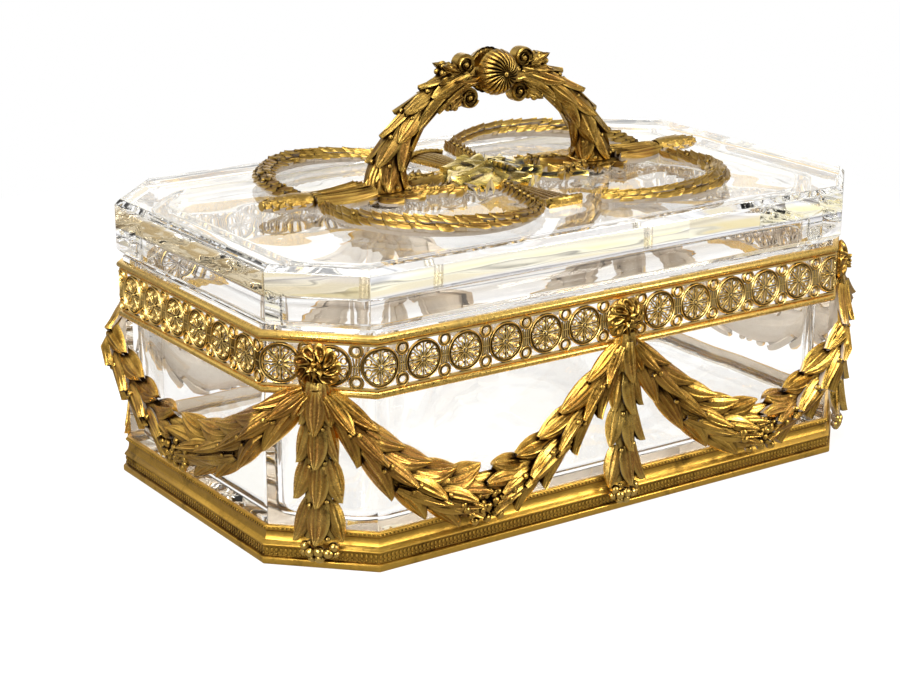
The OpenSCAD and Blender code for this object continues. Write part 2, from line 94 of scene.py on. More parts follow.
# %% The octagon and its course
def octagon(plan, out):
    """Corners of the plan moved outwards by out, counter-clockwise from the right front."""
    a, b, c = plan[0] + out, plan[1] + out, plan[2] + CORNER_GROWTH * out
    return [Vector(p) for p in ((a, c - b), (a, b - c), (a - c, b), (c - a, b),
                                (-a, b - c), (-a, c - b), (c - a, -b), (a - c, -b))]


def course(out):
    """The wall's plan from the middle of the front, round by the right, and back again."""
    o = octagon(body_plan, out)
    front, back = Vector((0, o[7].y)), Vector((0, o[2].y))
    return [front, o[7], o[0], o[1], o[2], back, o[3], o[4], o[5], o[6], front]


home = course(0)
spread = [b - a for a, b in zip(home, course(1))]
marks = [0.0]
for a, b in zip(home, home[1:]):
    marks.append(marks[-1] + (b - a).length)
round_trip = marks[-1]
hang = [0, (marks[1] + marks[2]) / 2, (marks[3] + marks[4]) / 2,
        marks[5], (marks[6] + marks[7]) / 2, (marks[8] + marks[9]) / 2]
HANG_NAMES = ["front", "front_right", "back_right", "back", "back_left", "front_left"]


def stretch(s):
    """Which stretch of the course s lies on, and which share of it lies behind s."""
    s %= round_trip
    i = min(bisect.bisect_right(marks, s) - 1, len(marks) - 2)
    return i, (s - marks[i]) / (marks[i + 1] - marks[i])


def wrap(bm):
    """Bends a flat strip of the wall round the octagon."""
    for v in bm.verts:
        i, share = stretch(v.co.x)
        a, b = (home[k] - v.co.y * spread[k] for k in (i, i + 1))
        p = a.lerp(b, share)
        v.co = (p.x, p.y, v.co.z)


print("once round the wall is", round(round_trip, 1), "mm")

# %% [markdown]
# ## Camera
# A long lens, a little above the lid, looks at the casket's front left corner.

# %% Camera
AIM = Vector((0, 28.16, 36.93)) * MM
CAMERA_TURN, CAMERA_RISE, CAMERA_AWAY = math.radians(-34.224), math.radians(17.427), 864.0 * MM
LENS, SENSOR, NEAREST = 85.44, 36, 0.05


def heading(turn, rise):
    """Direction that lies so far round from the front and so far up, in radians."""
    return Vector((math.sin(turn) * math.cos(rise), -math.cos(turn) * math.cos(rise), math.sin(rise)))


back = heading(CAMERA_TURN, CAMERA_RISE)
camera = bpy.data.objects.new("camera", bpy.data.cameras.new("camera"))
camera.data.lens, camera.data.sensor_width, camera.data.clip_start = LENS, SENSOR, NEAREST
camera.location = AIM + back * CAMERA_AWAY
camera.rotation_mode = "QUATERNION"
camera.rotation_quaternion = (-back).to_track_quat("-Z", "Y")
bpy.context.scene.collection.objects.link(camera)
bpy.context.scene.camera = camera
print("camera stands at", [round(v, 3) for v in camera.location])


# %% [markdown]
# ## Writing shaders as sums
# Shader maths is hard to read as boxes and links. `Wire` wraps a socket, so that `1 - dirt * 0.5` adds
# the Math nodes by itself. `Finish` holds one material: its `add` makes any other node, with its settings
# set first and then its sockets, and the methods below it are short names for the nodes that are needed
# again and again.

# %% Wires and finishes
class Wire:
    """A socket that takes part in sums."""

    def __init__(self, finish, socket):
        self.finish, self.socket = finish, socket

    def math(self, operation, *values):
        return self.finish.add("Math", {"operation": operation}, dict(enumerate(values)))

    def __add__(self, other):
        return self.math("ADD", self, other)

    def __radd__(self, other):
        return self.math("ADD", other, self)

    def __sub__(self, other):
        return self.math("SUBTRACT", self, other)

    def __rsub__(self, other):
        return self.math("SUBTRACT", other, self)

    def __mul__(self, other):
        return self.math("MULTIPLY", self, other)

    def __rmul__(self, other):
        return self.math("MULTIPLY", other, self)

    def between(self, low, high):
        """0 at low, 1 at high, and held there outside them."""
        limits = {"Value": self, "From Min": low, "From Max": high}
        return self.finish.add("MapRange", {"clamp": True}, limits)


class Finish:
    """One material, built node by node."""

    def __init__(self, name, target=None):
        self.target = target or bpy.data.materials.new(name)
        self.target.use_nodes = True
        self.tree = self.target.node_tree
        self.tree.nodes.clear()

    def add(self, kind, settings=None, sockets=None, out=0):
        """Adds a node and returns one of its outputs as a wire."""
        node = self.tree.nodes.new("ShaderNode" + kind)
        for key, value in (settings or {}).items():
            if key == "stops":
                self.set_stops(node.color_ramp, value)
            else:
                setattr(node, key, value)
        for key, value in (sockets or {}).items():
            if isinstance(value, Wire):
                self.tree.links.new(value.socket, node.inputs[key])
            else:
                node.inputs[key].default_value = value
        return Wire(self, node.outputs[out])

    def set_stops(self, ramp, stops):
        while len(ramp.elements) < len(stops):
            ramp.elements.new(0.5)
        for element, (place, color) in zip(ramp.elements, stops):
            element.position, element.color = place, (*color, 1)

    def close(self, surface, kind="OutputMaterial"):
        """Sends a shader to the output."""
        self.tree.links.new(surface.socket, self.tree.nodes.new("ShaderNode" + kind).inputs["Surface"])

    def mix(self, factor, a, b):
        """A colour between a and b."""
        a, b = ((*c, 1) if isinstance(c, tuple) else c for c in (a, b))
        return self.add("Mix", {"data_type": "RGBA"}, {0: factor, 6: a, 7: b}, out=2)

    def blend(self, factor, a, b):
        """A shader between a and b."""
        return self.add("MixShader", None, {0: factor, 1: a, 2: b})

    def glow(self, strength, color=(1, 1, 1), kind="Emission"):
        """Plain light given off by a surface or by the world."""
        color = color if isinstance(color, Wire) else (*color, 1)
        return self.add(kind, None, {"Color": color, "Strength": strength})

    def ramp(self, level, stops):
        """A colour read off a row of stops."""
        return self.add("ValToRGB", {"stops": stops}, {"Fac": level})

    def noise(self, place, scale, detail=2.0, roughness=0.5):
        """Soft random values between 0 and 1."""
        sockets = {"Vector": place, "Scale": scale, "Detail": detail, "Roughness": roughness}
        return self.add("TexNoise", None, sockets)

    def vector(self, operation, *values, out=0):
        """Maths on vectors."""
        return self.add("VectorMath", {"operation": operation}, dict(enumerate(values)), out)

    def part(self, vector, axis):
        """One coordinate of a vector."""
        return self.add("SeparateXYZ", None, {0: vector}, out=axis)


# %% [markdown]
# ## Studio
# Glass and gold show their surroundings, so the studio matters as much as the finish. The table and the
# background are white for the camera and through the glass. Metal also mirrors a dim front, which is the
# room behind the camera, and that gives the ornaments their dark side. Two windows and a white backdrop
# behind the casket give them their lights, and the backdrop also whitens the top of the lid. Large soft
# lamps hang above.

# %% World
ROOM_DARK, SIDE_GREY, WHITE = (0.030, 0.026, 0.022), (0.24, 0.22, 0.20), (1.0, 1.0, 1.0)
WINDOWS, WINDOW_EDGE, WINDOW_LIGHT = ((-62, 24), (34, 26)), (0.93, 0.965), (3.2, 3.1, 2.9)
THROUGH_GLASS = (0.4, 0.6)
BACKDROP_LIGHT, AMBIENT, CLUTTER = (1.5, 1.5, 1.47), 0.55, 2.6
WALL_BANDS = [(0.00, (0.15, 0.14, 0.13)), (0.10, (0.30, 0.29, 0.27)), (0.28, (0.80, 0.78, 0.74)),
              (0.46, (1.3, 1.27, 1.22)), (0.60, (0.8, 0.78, 0.75)), (0.74, (0.40, 0.38, 0.35)),
              (0.90, (0.9, 0.9, 0.9))]
STREAKS = [(0.00, (0.99, 0.96, 0.88)), (0.05, (0.80, 0.66, 0.42)), (0.09, WHITE), (0.15, (1.0, 0.94, 0.66)),
           (0.21, WHITE), (0.25, (0.30, 0.27, 0.25)), (0.28, WHITE), (0.38, (0.93, 0.82, 0.55)),
           (0.44, WHITE), (0.52, (1.0, 0.97, 0.78)), (0.58, (0.55, 0.50, 0.45)), (0.62, WHITE),
           (0.80, (0.86, 0.84, 0.82)), (0.90, WHITE)]
world = Finish("studio", bpy.data.worlds.new("studio"))
bpy.context.scene.world = world.target
ray = {name: world.add("LightPath", out=name)
       for name in ("Is Camera Ray", "Is Diffuse Ray", "Transmission Depth")}
view_way = world.add("TexCoord", out="Generated")
room_way = (math.sin(CAMERA_TURN), -math.cos(CAMERA_TURN), 0.10)
toward_room = world.vector("DOT_PRODUCT", view_way, room_way, out="Value")
clutter = world.noise(view_way, CLUTTER)
room = (toward_room + 0.9 * (clutter - 0.5)).between(-0.15, 0.5)
height = world.part(view_way, "Z")
bands = world.mix(toward_room.between(-0.30, -0.80) * 0.8, world.ramp(height, WALL_BANDS), SIDE_GREY)
metal_sees = world.mix(room, bands, ROOM_DARK)
for turn_by, rise in WINDOWS:
    window_way = heading(math.radians(turn_by), math.radians(rise))
    window = world.vector("DOT_PRODUCT", view_way, window_way, out="Value").between(*WINDOW_EDGE)
    metal_sees = world.mix(window, metal_sees, WINDOW_LIGHT)
metal_sees = world.mix(toward_room.between(-0.78, -0.88), metal_sees, BACKDROP_LIGHT)
glass_sees = world.ramp(height + 0.10 * (clutter - 0.5), STREAKS)
seen = world.mix(ray["Transmission Depth"].between(*THROUGH_GLASS), metal_sees, glass_sees)
studio_light = world.glow(1.0, world.mix(ray["Is Camera Ray"], seen, WHITE), "Background")
ambient = world.glow(AMBIENT, WHITE, "Background")
world.close(world.blend(ray["Is Diffuse Ray"], studio_light, ambient), "OutputWorld")
print("studio world has", len(world.tree.nodes), "nodes")


# %% [markdown]
# Three square area lamps shine from above, the left and the right front. Small lamps would burn hard dots
# into the gilding, while a wide one leaves a soft stripe on every leaf, as a photographer's softbox does.

# %% Lamps
def softbox(name, place, aim_z, size, power, color=(1, 1, 1)):
    """A square lamp of that size in metres, looking at a point above the origin."""
    lamp = bpy.data.objects.new(name, bpy.data.lights.new(name, "AREA"))
    lamp.data.size, lamp.data.energy, lamp.data.color = size, power, color
    lamp.location = place
    lamp.rotation_mode = "QUATERNION"
    lamp.rotation_quaternion = (Vector((0, 0, aim_z)) - Vector(place)).to_track_quat("-Z", "Y")
    bpy.context.scene.collection.objects.link(lamp)
    print(name, "gives", power, "W")


softbox("lamp_above", (-0.25, -0.15, 1.0), 0.05, 0.45, 7.0)
softbox("lamp_left", (-1.1, -0.5, 0.7), 0.06, 0.30, 7.0, (1.0, 0.97, 0.93))
softbox("lamp_right", (0.8, -1.0, 0.65), 0.06, 0.22, 5.0, (1.0, 0.98, 0.95))

# %% Light paths
# Light turns many times inside thick cut glass before it leaves again.
paths = bpy.context.scene.cycles
paths.max_bounces, paths.glossy_bounces, paths.transmission_bounces = 24, 16, 24
print("light may turn", paths.max_bounces, "times")

# %% [markdown]
# The table is a very wide plane. Around the casket it takes soft shadows and colour from the mounts, and
# further out it glows plain white, so that it runs into the background without a horizon.

# %% Table
NEAR_TABLE, FAR_TABLE, TABLE_SIZE = 0.24, 0.50, 30
TABLE_PAINT, NEAR_GLOW, FAR_GLOW, GLOW_IN_GLASS, GLOW_IN_METAL = 0.34, 0.80, 1.0, 1.15, 0.33
table_top = Finish("white_table")
away = table_top.vector("LENGTH", table_top.add("TexCoord", out="Object"), out="Value")
paint = table_top.add("BsdfDiffuse", None, {"Color": (TABLE_PAINT, TABLE_PAINT, TABLE_PAINT, 1)})
near = table_top.add("AddShader", None, {0: paint, 1: table_top.glow(NEAR_GLOW)})
table_seen = table_top.blend(away.between(NEAR_TABLE, FAR_TABLE), near, table_top.glow(FAR_GLOW))
mirrored = table_top.add("LightPath", out="Is Glossy Ray")
refracted = table_top.add("LightPath", out="Is Transmission Ray")
through = table_top.add("LightPath", out="Transmission Depth").between(*THROUGH_GLASS)
in_glass = table_top.blend(refracted + mirrored * through, table_seen, table_top.glow(GLOW_IN_GLASS))
in_metal = table_top.glow(GLOW_IN_METAL, (1.0, 0.95, 0.88))
table_top.close(table_top.blend(mirrored * (1 - through), in_glass, in_metal))
bm = bmesh.new()
bmesh.ops.create_grid(bm, x_segments=1, y_segments=1, size=TABLE_SIZE)
table_mesh = bpy.data.meshes.new("table")
bm.to_mesh(table_mesh)
bm.free()
table_mesh.materials.append(table_top.target)
table = bpy.data.objects.new("table", table_mesh)
bpy.context.scene.collection.objects.link(table)
print("table reaches", TABLE_SIZE, "m each way")


# %% [markdown]
# ## Gilding
# Gilt bronze is bright on the high points, where it is touched, and brown in the hollows, where wax and dust
# stay. The finish darkens a point by the occlusion around it, which paints shade into the hollows as well as
# their wax and dust, and it brightens sharp edges of the mesh, which is a painted highlight as well as wear.
# Two sizes of noise break up the colour, and chased lines run along a leaf's own UV map, with painted shade
# and grime in their grooves.

# %% Gilt finish
RAW_BACK, HOLLOW_WAX_AND_SHADE, WARM = (0.64, 0.56, 0.47), (0.030, 0.011, 0.002), (0.46, 0.21, 0.055)
CLOUDS, PATCHES, GRAIN, BLOTS = 85.0, 34.0, 700.0, 60.0
SHARP_EDGE, OPEN_TO_AIR, FACING_WALL = (0.50, 0.56), (0.32, 0.95), (0.10, 0.45)


def hidden_side(f, place, back):
    """1 where a casting is left raw: towards the glass wall, or underneath."""
    normal = f.add("NewGeometry", out="Normal")
    if back == "under":
        facing = f.part(normal, "Z")
    else:
        outwards = f.vector("NORMALIZE", f.vector("MULTIPLY", place, (1, 1, 0)))
        facing = f.vector("DOT_PRODUCT", normal, outwards, out="Value")
    return (0 - facing).between(*FACING_WALL)


def gilt(name, bright, body, warm, chased=0.0, roughness=0.24, hollow=HOLLOW_WAX_AND_SHADE, back=None, reach=4.0,
         stained=0.0, lean=0.0):
    """Aged gilding in three tones and a warm one, with painted shade in its hollows and a painted highlight
    on its sharp edges. chased is how deep the lines along a leaf are cut, reach is how far the occlusion
    looks that paints shade and wax into a hollow, and lean makes the warm tone gather towards +X, which
    paints shade on that side when the warm tone is near black."""
    f = Finish(name)
    place = f.add("TexCoord", out="Object")
    cloudy = f.noise(place, CLOUDS, 4.0, 0.6)
    patches = f.noise(place, PATCHES)
    # lean pulls the warm tone towards +X; for the middle leaves, whose warm tone is near black, that is
    # painted shade on their +X side.
    if lean:
        patches = patches + lean * f.part(place, "X")
    grain = f.noise(place, GRAIN, 4.0, 0.65)
    # Occlusion paints shade into hollows, creases and the joins between leaves, together with the wax and
    # dust that gather there.
    depth = f.add("AmbientOcclusion", {"samples": 5, "only_local": True}, {"Distance": reach * MM}, out="AO")
    # Sharp edges are painted brighter: a painted highlight, as well as the wear of rubbed gilding.
    edge = f.add("NewGeometry", out="Pointiness").between(*SHARP_EDGE)
    grime_and_shade = (1 - depth.between(*OPEN_TO_AIR)) * (0.85 + 1.0 * cloudy)
    if stained:
        grime_and_shade = grime_and_shade + stained * f.noise(place, BLOTS, 4.0, 0.7).between(0.50, 0.70)
    height = 0.30 * grain
    if chased:
        lines = f.add("Mapping", None, {"Vector": f.add("TexCoord", out="UV"), "Scale": (9.0, 0.9, 1.0)})
        groove = f.noise(lines, 1.0)
        height = height + chased * groove
        # The grooves are painted darker: painted shade in the valleys of a bump, as well as grime in the
        # chased lines.
        grime_and_shade = grime_and_shade + 0.42 * chased * (1 - groove.between(0.36, 0.50))
    tone = f.mix(cloudy.between(0.36, 0.64), body, bright)
    tone = f.mix(patches.between(0.44, 0.62) * (0.96 if lean else 0.8), tone, warm)
    # Painted highlight and wear on the sharp edges.
    tone = f.mix(edge * 0.9, tone, bright)
    # Here the hollows' painted shade and grime darken the colour.
    tone = f.mix(grime_and_shade.between(0.12, 0.80), tone, hollow)
    if back:
        rough_side = hidden_side(f, place, back)
        tone = f.mix(rough_side, tone, RAW_BACK)
        grime_and_shade = grime_and_shade + 1.6 * rough_side
    bump = f.add("Bump", None, {"Height": height, "Strength": 0.7, "Distance": 0.5 * MM})
    f.close(f.add("BsdfPrincipled", None, {
        "Base Color": tone, "Metallic": 1.0, "Normal": bump,
        "Roughness": roughness + 0.25 * grime_and_shade + 0.14 * grain.between(0.4, 0.7)}))
    return f.target


# %% Gilt tones
gilt_cast = gilt("gilt_cast", (0.92, 0.62, 0.16), (0.42, 0.23, 0.032), (0.56, 0.28, 0.09), stained=0.40)
gilt_worn = gilt("gilt_worn", (0.84, 0.51, 0.09), (0.26, 0.12, 0.013), (0.34, 0.15, 0.03), 0.0, 0.28,
                 back="wall", stained=0.55)
gilt_leaf = gilt("gilt_leaf", (0.92, 0.57, 0.12), (0.34, 0.17, 0.022), WARM, 1.2, 0.18, back="wall")
# The pendants take a brighter copy of the gilding: painted light, which lifts leaves that mirror the dark
# front room.
gilt_pendant = gilt("gilt_pendant", (1.0, 0.68, 0.18), (0.52, 0.28, 0.040), WARM, 0.6, 0.20, back="wall")
gilt_rosette = gilt("gilt_rosette", (0.60, 0.38, 0.085), (0.26, 0.13, 0.020), (0.22, 0.09, 0.02), reach=1.4)
gilt_strip = gilt("gilt_strip", (0.98, 0.70, 0.24), (0.54, 0.33, 0.085), (0.42, 0.24, 0.11), 0.0, 0.30,
                  (0.060, 0.030, 0.010), "wall", 0.7)
# The lid's mounts share a darker copy of the gilding: painted shade, which takes back the stronger light that
# falls on them from above.
TOP_SHADED_TONES = ((0.54, 0.35, 0.082), (0.20, 0.11, 0.017), (0.24, 0.105, 0.026))
gilt_top = gilt("gilt_top", *TOP_SHADED_TONES, 0.8, 0.29, back="under")
gilt_handle = gilt("gilt_handle", *TOP_SHADED_TONES, 0.9)
gilt_smooth = gilt("gilt_smooth", *TOP_SHADED_TONES)
# The middle leaves: their warm tone is near black and gathers towards +X, which paints shade on that side of
# the cluster.
gilt_shaded_side = gilt("gilt_shaded_side", (1.0, 0.76, 0.20), (0.42, 0.28, 0.045), (0.012, 0.020, 0.028), 0.9, 0.17,
                 (0.014, 0.013, 0.008), "under", lean=14.0)
brass_turned = gilt("brass_turned", (0.88, 0.84, 0.76), (0.80, 0.75, 0.66), (0.60, 0.50, 0.34), 0.0, 0.20,
                    (0.26, 0.20, 0.12))
print("gilt finishes:", sum(m.name.startswith("gilt") for m in bpy.data.materials))


# %% [markdown]
# ## Crystal
# Clear glass is one Principled shader. Lamps reach what lies behind it because a transparent shader takes its
# place for shadow rays, which is what keeps the inside of a thick casket bright. Its faces carry a very
# slight waviness from grinding and polishing. The lid's upright faces carry soft tinted bands drawn out along
# it, which are painted reflections: tan and gold ones of the gilt mounts, and dark ones.

# %% Glass finish
CLEAR, SHADOW_TINT, GLASS_BEND = (0.996, 0.998, 0.994), (0.97, 0.975, 0.97, 1), 1.52
# Painted reflections on the lid's upright faces, as stops up its height: the long faces, then the ends.
SIDE_REFLECTIONS = [(0.00, CLEAR), (0.12, (0.96, 0.95, 0.93)), (0.20, (0.70, 0.66, 0.62)),
              (0.36, (0.76, 0.70, 0.62)), (0.41, CLEAR), (0.435, (0.16, 0.17, 0.20)), (0.45, CLEAR),
              (0.50, (0.80, 0.80, 0.86)), (0.535, (0.14, 0.14, 0.17)), (0.55, CLEAR),
              (0.60, (1.0, 0.90, 0.55)), (0.74, (1.0, 0.92, 0.60)), (0.80, CLEAR),
              (0.86, (0.60, 0.60, 0.62)), (0.88, CLEAR), (1.00, CLEAR)]
END_REFLECTIONS = [(0.00, CLEAR), (0.22, (0.86, 0.82, 0.78)), (0.30, CLEAR), (0.40, (0.30, 0.29, 0.30)),
             (0.42, CLEAR), (0.52, CLEAR), (0.55, (0.18, 0.15, 0.12)), (0.57, (0.46, 0.33, 0.15)),
             (0.84, (0.54, 0.40, 0.20)), (0.88, (0.90, 0.84, 0.74)), (0.94, CLEAR), (1.00, CLEAR)]


def lid_painted_reflections(f, place, ripple):
    """Painted reflections: drawn-out bands on the upright faces of the lid, warmer and darker on its left
    end.
    """
    normal = f.add("NewGeometry", out="Normal")
    thick = lid_top - seat_z
    level = f.part(place, "Z") * (1 / (MM * thick)) - seat_z / thick + 0.30 * (ripple - 0.5)
    leftwards = (0 - f.part(normal, "X")).between(0.50, 0.85)
    # Painted reflections: the ends' bands on faces that look to -X, the long faces' bands elsewhere.
    drawn = f.mix(leftwards, f.ramp(level, SIDE_REFLECTIONS), f.ramp(level, END_REFLECTIONS))
    upright = 1 - f.add("Math", {"operation": "ABSOLUTE"}, {0: f.part(normal, "Z")}).between(0.2, 0.6)
    return f.mix(upright, CLEAR, drawn)


def crystal(name, waviness, lid=False):
    """Clear glass, with drawn-out ripples on the lid and bands of painted reflection on its upright faces."""
    f = Finish(name)
    place = f.add("TexCoord", out="Object")
    height = f.noise(place, 28.0, 1.0)
    tint = (*CLEAR, 1)
    if lid:
        ripple = f.noise(f.add("Mapping", None, {"Vector": place, "Scale": (9.0, 9.0, 120.0)}), 1.0)
        height = height + 0.50 * ripple
        # The lid's tint carries its painted reflections.
        tint = lid_painted_reflections(f, place, ripple)
    bump = f.add("Bump", None, {"Height": height, "Strength": waviness, "Distance": 1.0 * MM})
    glass = f.add("BsdfPrincipled", None, {
        "Base Color": tint, "Roughness": 0.0, "IOR": GLASS_BEND, "Transmission Weight": 1.0, "Normal": bump})
    clear = f.add("BsdfTransparent", None, {"Color": SHADOW_TINT})
    f.close(f.blend(f.add("LightPath", out="Is Shadow Ray"), glass, clear))
    return f.target


body_finish = crystal("crystal_body", 0.25)
lid_finish = crystal("crystal_lid", 0.28, lid=True)
print("lid finish has", len(lid_finish.node_tree.nodes), "nodes")

# %% [markdown]
# ## Making pieces
# A piece is drawn as a bmesh in millimetres. `piece` scales it to metres, shades it, gives it its finish,
# and hangs it on its body in place of the plain nodes it stands for. `stamp` copies a small shape, such
# as one leaf, to wherever a matrix puts it. `skin` is a grid laid over rows of points, and serves for
# every rod and moulding.

# %% Piece and stamp
def new_sheet():
    """An empty bmesh with the UV map that leaves carry."""
    bm = bmesh.new()
    bm.loops.layers.uv.new("leaf")
    return bm


def kept(name, bm):
    """Turns a bmesh into a mesh and frees it."""
    mesh = bpy.data.meshes.new(name)
    bm.to_mesh(mesh)
    bm.free()
    return mesh


def piece(name, bm, finish, body, *stands_for, slot="gilt", sharp=38):
    """Finishes a bmesh that was drawn in millimetres."""
    bmesh.ops.scale(bm, vec=(MM, MM, MM), verts=bm.verts)
    mesh = kept(name, bm)
    mesh.shade_smooth()
    mesh.set_sharp_from_angle(angle=math.radians(sharp))
    mesh.materials.append(finish)
    made = bpy.data.objects.new(name, mesh)
    bpy.context.scene.collection.objects.link(made)
    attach(made, body)
    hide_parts(*stands_for)
    print(f"{name}: {len(mesh.polygons)} faces")
    return made


def shape(name, bm):
    """Keeps a small bmesh as a mesh that can be stamped."""
    bmesh.ops.recalc_face_normals(bm, faces=bm.faces)
    return kept(name, bm)


def stamp(bm, mesh, matrix):
    """Adds a copy of a shape, put in place by a matrix."""
    copy = mesh.copy()
    copy.transform(matrix)
    bm.from_mesh(copy)
    bpy.data.meshes.remove(copy)


def stand(point, along, face, size=(1, 1, 1)):
    """Matrix that puts the origin at a point, +Y along one way and +Z towards a face."""
    y = Vector(along).normalized()
    x = y.cross(Vector(face)).normalized()
    z = x.cross(y)
    matrix = Matrix((x * size[0], y * size[1], z * size[2])).transposed().to_4x4()
    matrix.translation = point
    return matrix


# %% Points and angles
def around(r, a, z=0.0):
    """A point at a distance and an angle round the Z axis."""
    return Vector((r * math.cos(a), r * math.sin(a), z))


def angles(count, shift=0.0):
    """Equal angles round a full turn."""
    return [math.tau * (k + shift) / count for k in range(count)]


def shares(steps):
    """Numbers from 0 to 1 in equal steps."""
    return [k / steps for k in range(steps + 1)]


# %% Skins and rods
def open_rim(bm):
    """The edges that only one face uses."""
    return [e for e in bm.edges if e.is_boundary]


def pull_rim(bm):
    """Extrudes the open rim of a sheet and returns the new points."""
    grown = bmesh.ops.extrude_edge_only(bm, edges=open_rim(bm))["geom"]
    return [g for g in grown if isinstance(g, bmesh.types.BMVert)]


def skin(bm, rows, closed=False, capped=False):
    """Lays a grid over rows of points; closed joins the ends of each row, capped fills the first and last."""
    across = len(rows[0]) + closed
    made = bmesh.ops.create_grid(bm, x_segments=across - 1, y_segments=len(rows) - 1, size=0.5,
                                 calc_uvs=True)["verts"]
    for v, place in zip(made, (row[k % len(row)] for row in rows for k in range(across))):
        v.co = place
    bmesh.ops.remove_doubles(bm, verts=made, dist=1e-3)
    made = [v for v in made if v.is_valid]
    if capped:
        rims = {e for v in made for e in v.link_edges if e.is_boundary}
        bmesh.ops.holes_fill(bm, edges=list(rims), sides=0)
    bmesh.ops.recalc_face_normals(bm, faces=list({f for v in made for f in v.link_faces}))


def rod(bm, path, size_at, face, sides=10):
    """A rod along a path. size_at(t) gives its half width and half height for t from 0 to 1."""
    rows, last = [], len(path) - 1
    for i, point in enumerate(path):
        along = (path[min(i + 1, last)] - path[max(i - 1, 0)]).normalized()
        side = along.cross(Vector(face)).normalized()
        up = side.cross(along)
        width, height = size_at(i / last)
        rows.append([point + side * (width * math.cos(a)) + up * (height * math.sin(a))
                     for a in angles(sides)])
    skin(bm, rows, closed=True, capped=True)


# %% [markdown]
# ## Leaves and berries
# Nearly every ornament is made of leaves, so one good leaf pays for itself. It starts as a flat grid. Its
# rows are narrowed to the outline and lifted to a convex face with a raised midrib, and its rim is
# extruded downwards to give it the thickness of a casting. The acanthus leaf has a lobed outline and
# deeper folds.

# %% Leaf shapes
LEAF_THICK = 0.9


def leaf_shape(name, across, along, outline, relief, hook=0.0):
    """A leaf of unit half width and length: its stem at the origin, its tip at +Y, its face towards +Z."""
    bm = new_sheet()
    bmesh.ops.create_grid(bm, x_segments=across, y_segments=along, size=0.5, calc_uvs=True)
    for v in bm.verts:
        u, t = 2 * v.co.x, v.co.y + 0.5
        v.co = (u * outline(t) + hook * t ** 2.5, t, relief(u, t))
    for v in pull_rim(bm):
        v.co = (0.7 * v.co.x, 0.04 + 0.92 * v.co.y, v.co.z - LEAF_THICK)
    bmesh.ops.holes_fill(bm, edges=open_rim(bm), sides=0)
    return shape(name, bm)


def lance(t):
    """Outline of a laurel leaf with a blunt tip."""
    return max(0.13, math.sin(math.pi * (0.16 + 0.80 * t))) ** 0.80


def laurel_relief(u, t):
    """A convex leaf with a raised midrib, a few soft folds, and a tip that lifts."""
    rib = 0.24 * math.exp(-((u / 0.13) ** 2)) * (1 - 0.4 * t)
    folds = 0.09 * math.cos(4.2 * math.pi * u * (1 + 0.25 * t)) * (1 - 0.5 * abs(u))
    return 0.80 * (1 - abs(u) ** 2.2) + rib + folds + 0.55 * t * t


def lobed(t):
    """Outline of an acanthus leaf, cut into lobes."""
    body = max(0.05, math.sin(math.pi * (0.16 + 0.84 * t))) ** 0.75
    return body * (0.76 + 0.28 * abs(math.cos(3.0 * math.pi * t)))


def acanthus_relief(u, t):
    """Deep folds that fan out from a strong rib, and a tip that curls up."""
    rib = 0.40 * math.exp(-((u / 0.16) ** 2))
    folds = 0.17 * math.cos(3.6 * math.pi * (abs(u) - 0.35 * t)) * abs(u) ** 0.5
    return 0.70 * (1 - u * u) + rib + folds + 0.6 * t ** 3


def oak_relief(u, t):
    """A leaf with a keen ridge and folds that slant back from it."""
    folds = 0.14 * math.cos(3.2 * math.pi * (t + 0.5 * abs(u))) * abs(u)
    return 1.1 * (1 - abs(u) ** 1.15) + folds + 0.3 * t * t


laurel = leaf_shape("laurel", 14, 8, lance, laurel_relief)
blade_right = leaf_shape("blade_right", 14, 8, lance, laurel_relief, hook=0.55)
blade_left = leaf_shape("blade_left", 14, 8, lance, laurel_relief, hook=-0.55)
small_laurel = leaf_shape("small_laurel", 6, 5, lance, laurel_relief)
acanthus = leaf_shape("acanthus", 14, 21, lobed, acanthus_relief)
oak = leaf_shape("oak", 12, 16, lambda t: 1.05 * lobed(t) ** 0.8, oak_relief)
print("laurel leaf has", len(laurel.polygons), "faces, acanthus", len(acanthus.polygons))

# %% Laying leaves and berries
hand = random.Random(1)


def lay_leaf(bm, mesh, base, tip, face, half, rise):
    """Lays a leaf from base to tip, with the small differences in tilt and width of handwork."""
    along, face = Vector(tip) - Vector(base), Vector(face).normalized()
    face = face + along.normalized().cross(face) * hand.uniform(-0.22, 0.22)
    stamp(bm, mesh, stand(base, along, face, (half * hand.uniform(0.90, 1.10), along.length, rise)))


def ball(name, columns, rows):
    """A ball of radius one, to be stamped."""
    bm = new_sheet()
    bmesh.ops.create_uvsphere(bm, u_segments=columns, v_segments=rows, radius=1.0, calc_uvs=True)
    return shape(name, bm)


berry, bead = ball("berry", 10, 7), ball("bead", 6, 4)


def lay_berry(bm, point, r, mesh=berry):
    """A berry at a point, turned a little so that no two look alike."""
    stamp(bm, mesh, Matrix.Translation(point) @ Matrix.Rotation(0.7 * point[0], 4, "Y") @ Matrix.Scale(r, 4))


# %% [markdown]
# ## Glass body and lid
# Both are solids with real inner walls, because light bends at every face it meets. The profile is walked
# from the bottom round the outside and back down inside, and each point is a ring of the plan. Outer
# corners are almost sharp, the hollow's corners are round, and the small rounding at each edge is what
# catches the light.

# %% Rings of the plan
WALL, FLOOR, HOLLOW_CORNER, CRISP, CORNER_STEPS = 10.0, 11, 12.0, 0.5, 7


def plan_rings(plan, corner, profile):
    """Rings of the plan with round corners, one for each (outwards, height) point of a profile."""
    rings = []
    for out, z in profile:
        core = octagon(plan, out - corner)
        rings.append([core[i].to_3d() + around(corner, a, z) for i in range(8)
                      for a in (math.radians(45 * (i - 1 + share)) for share in shares(CORNER_STEPS))])
    return rings


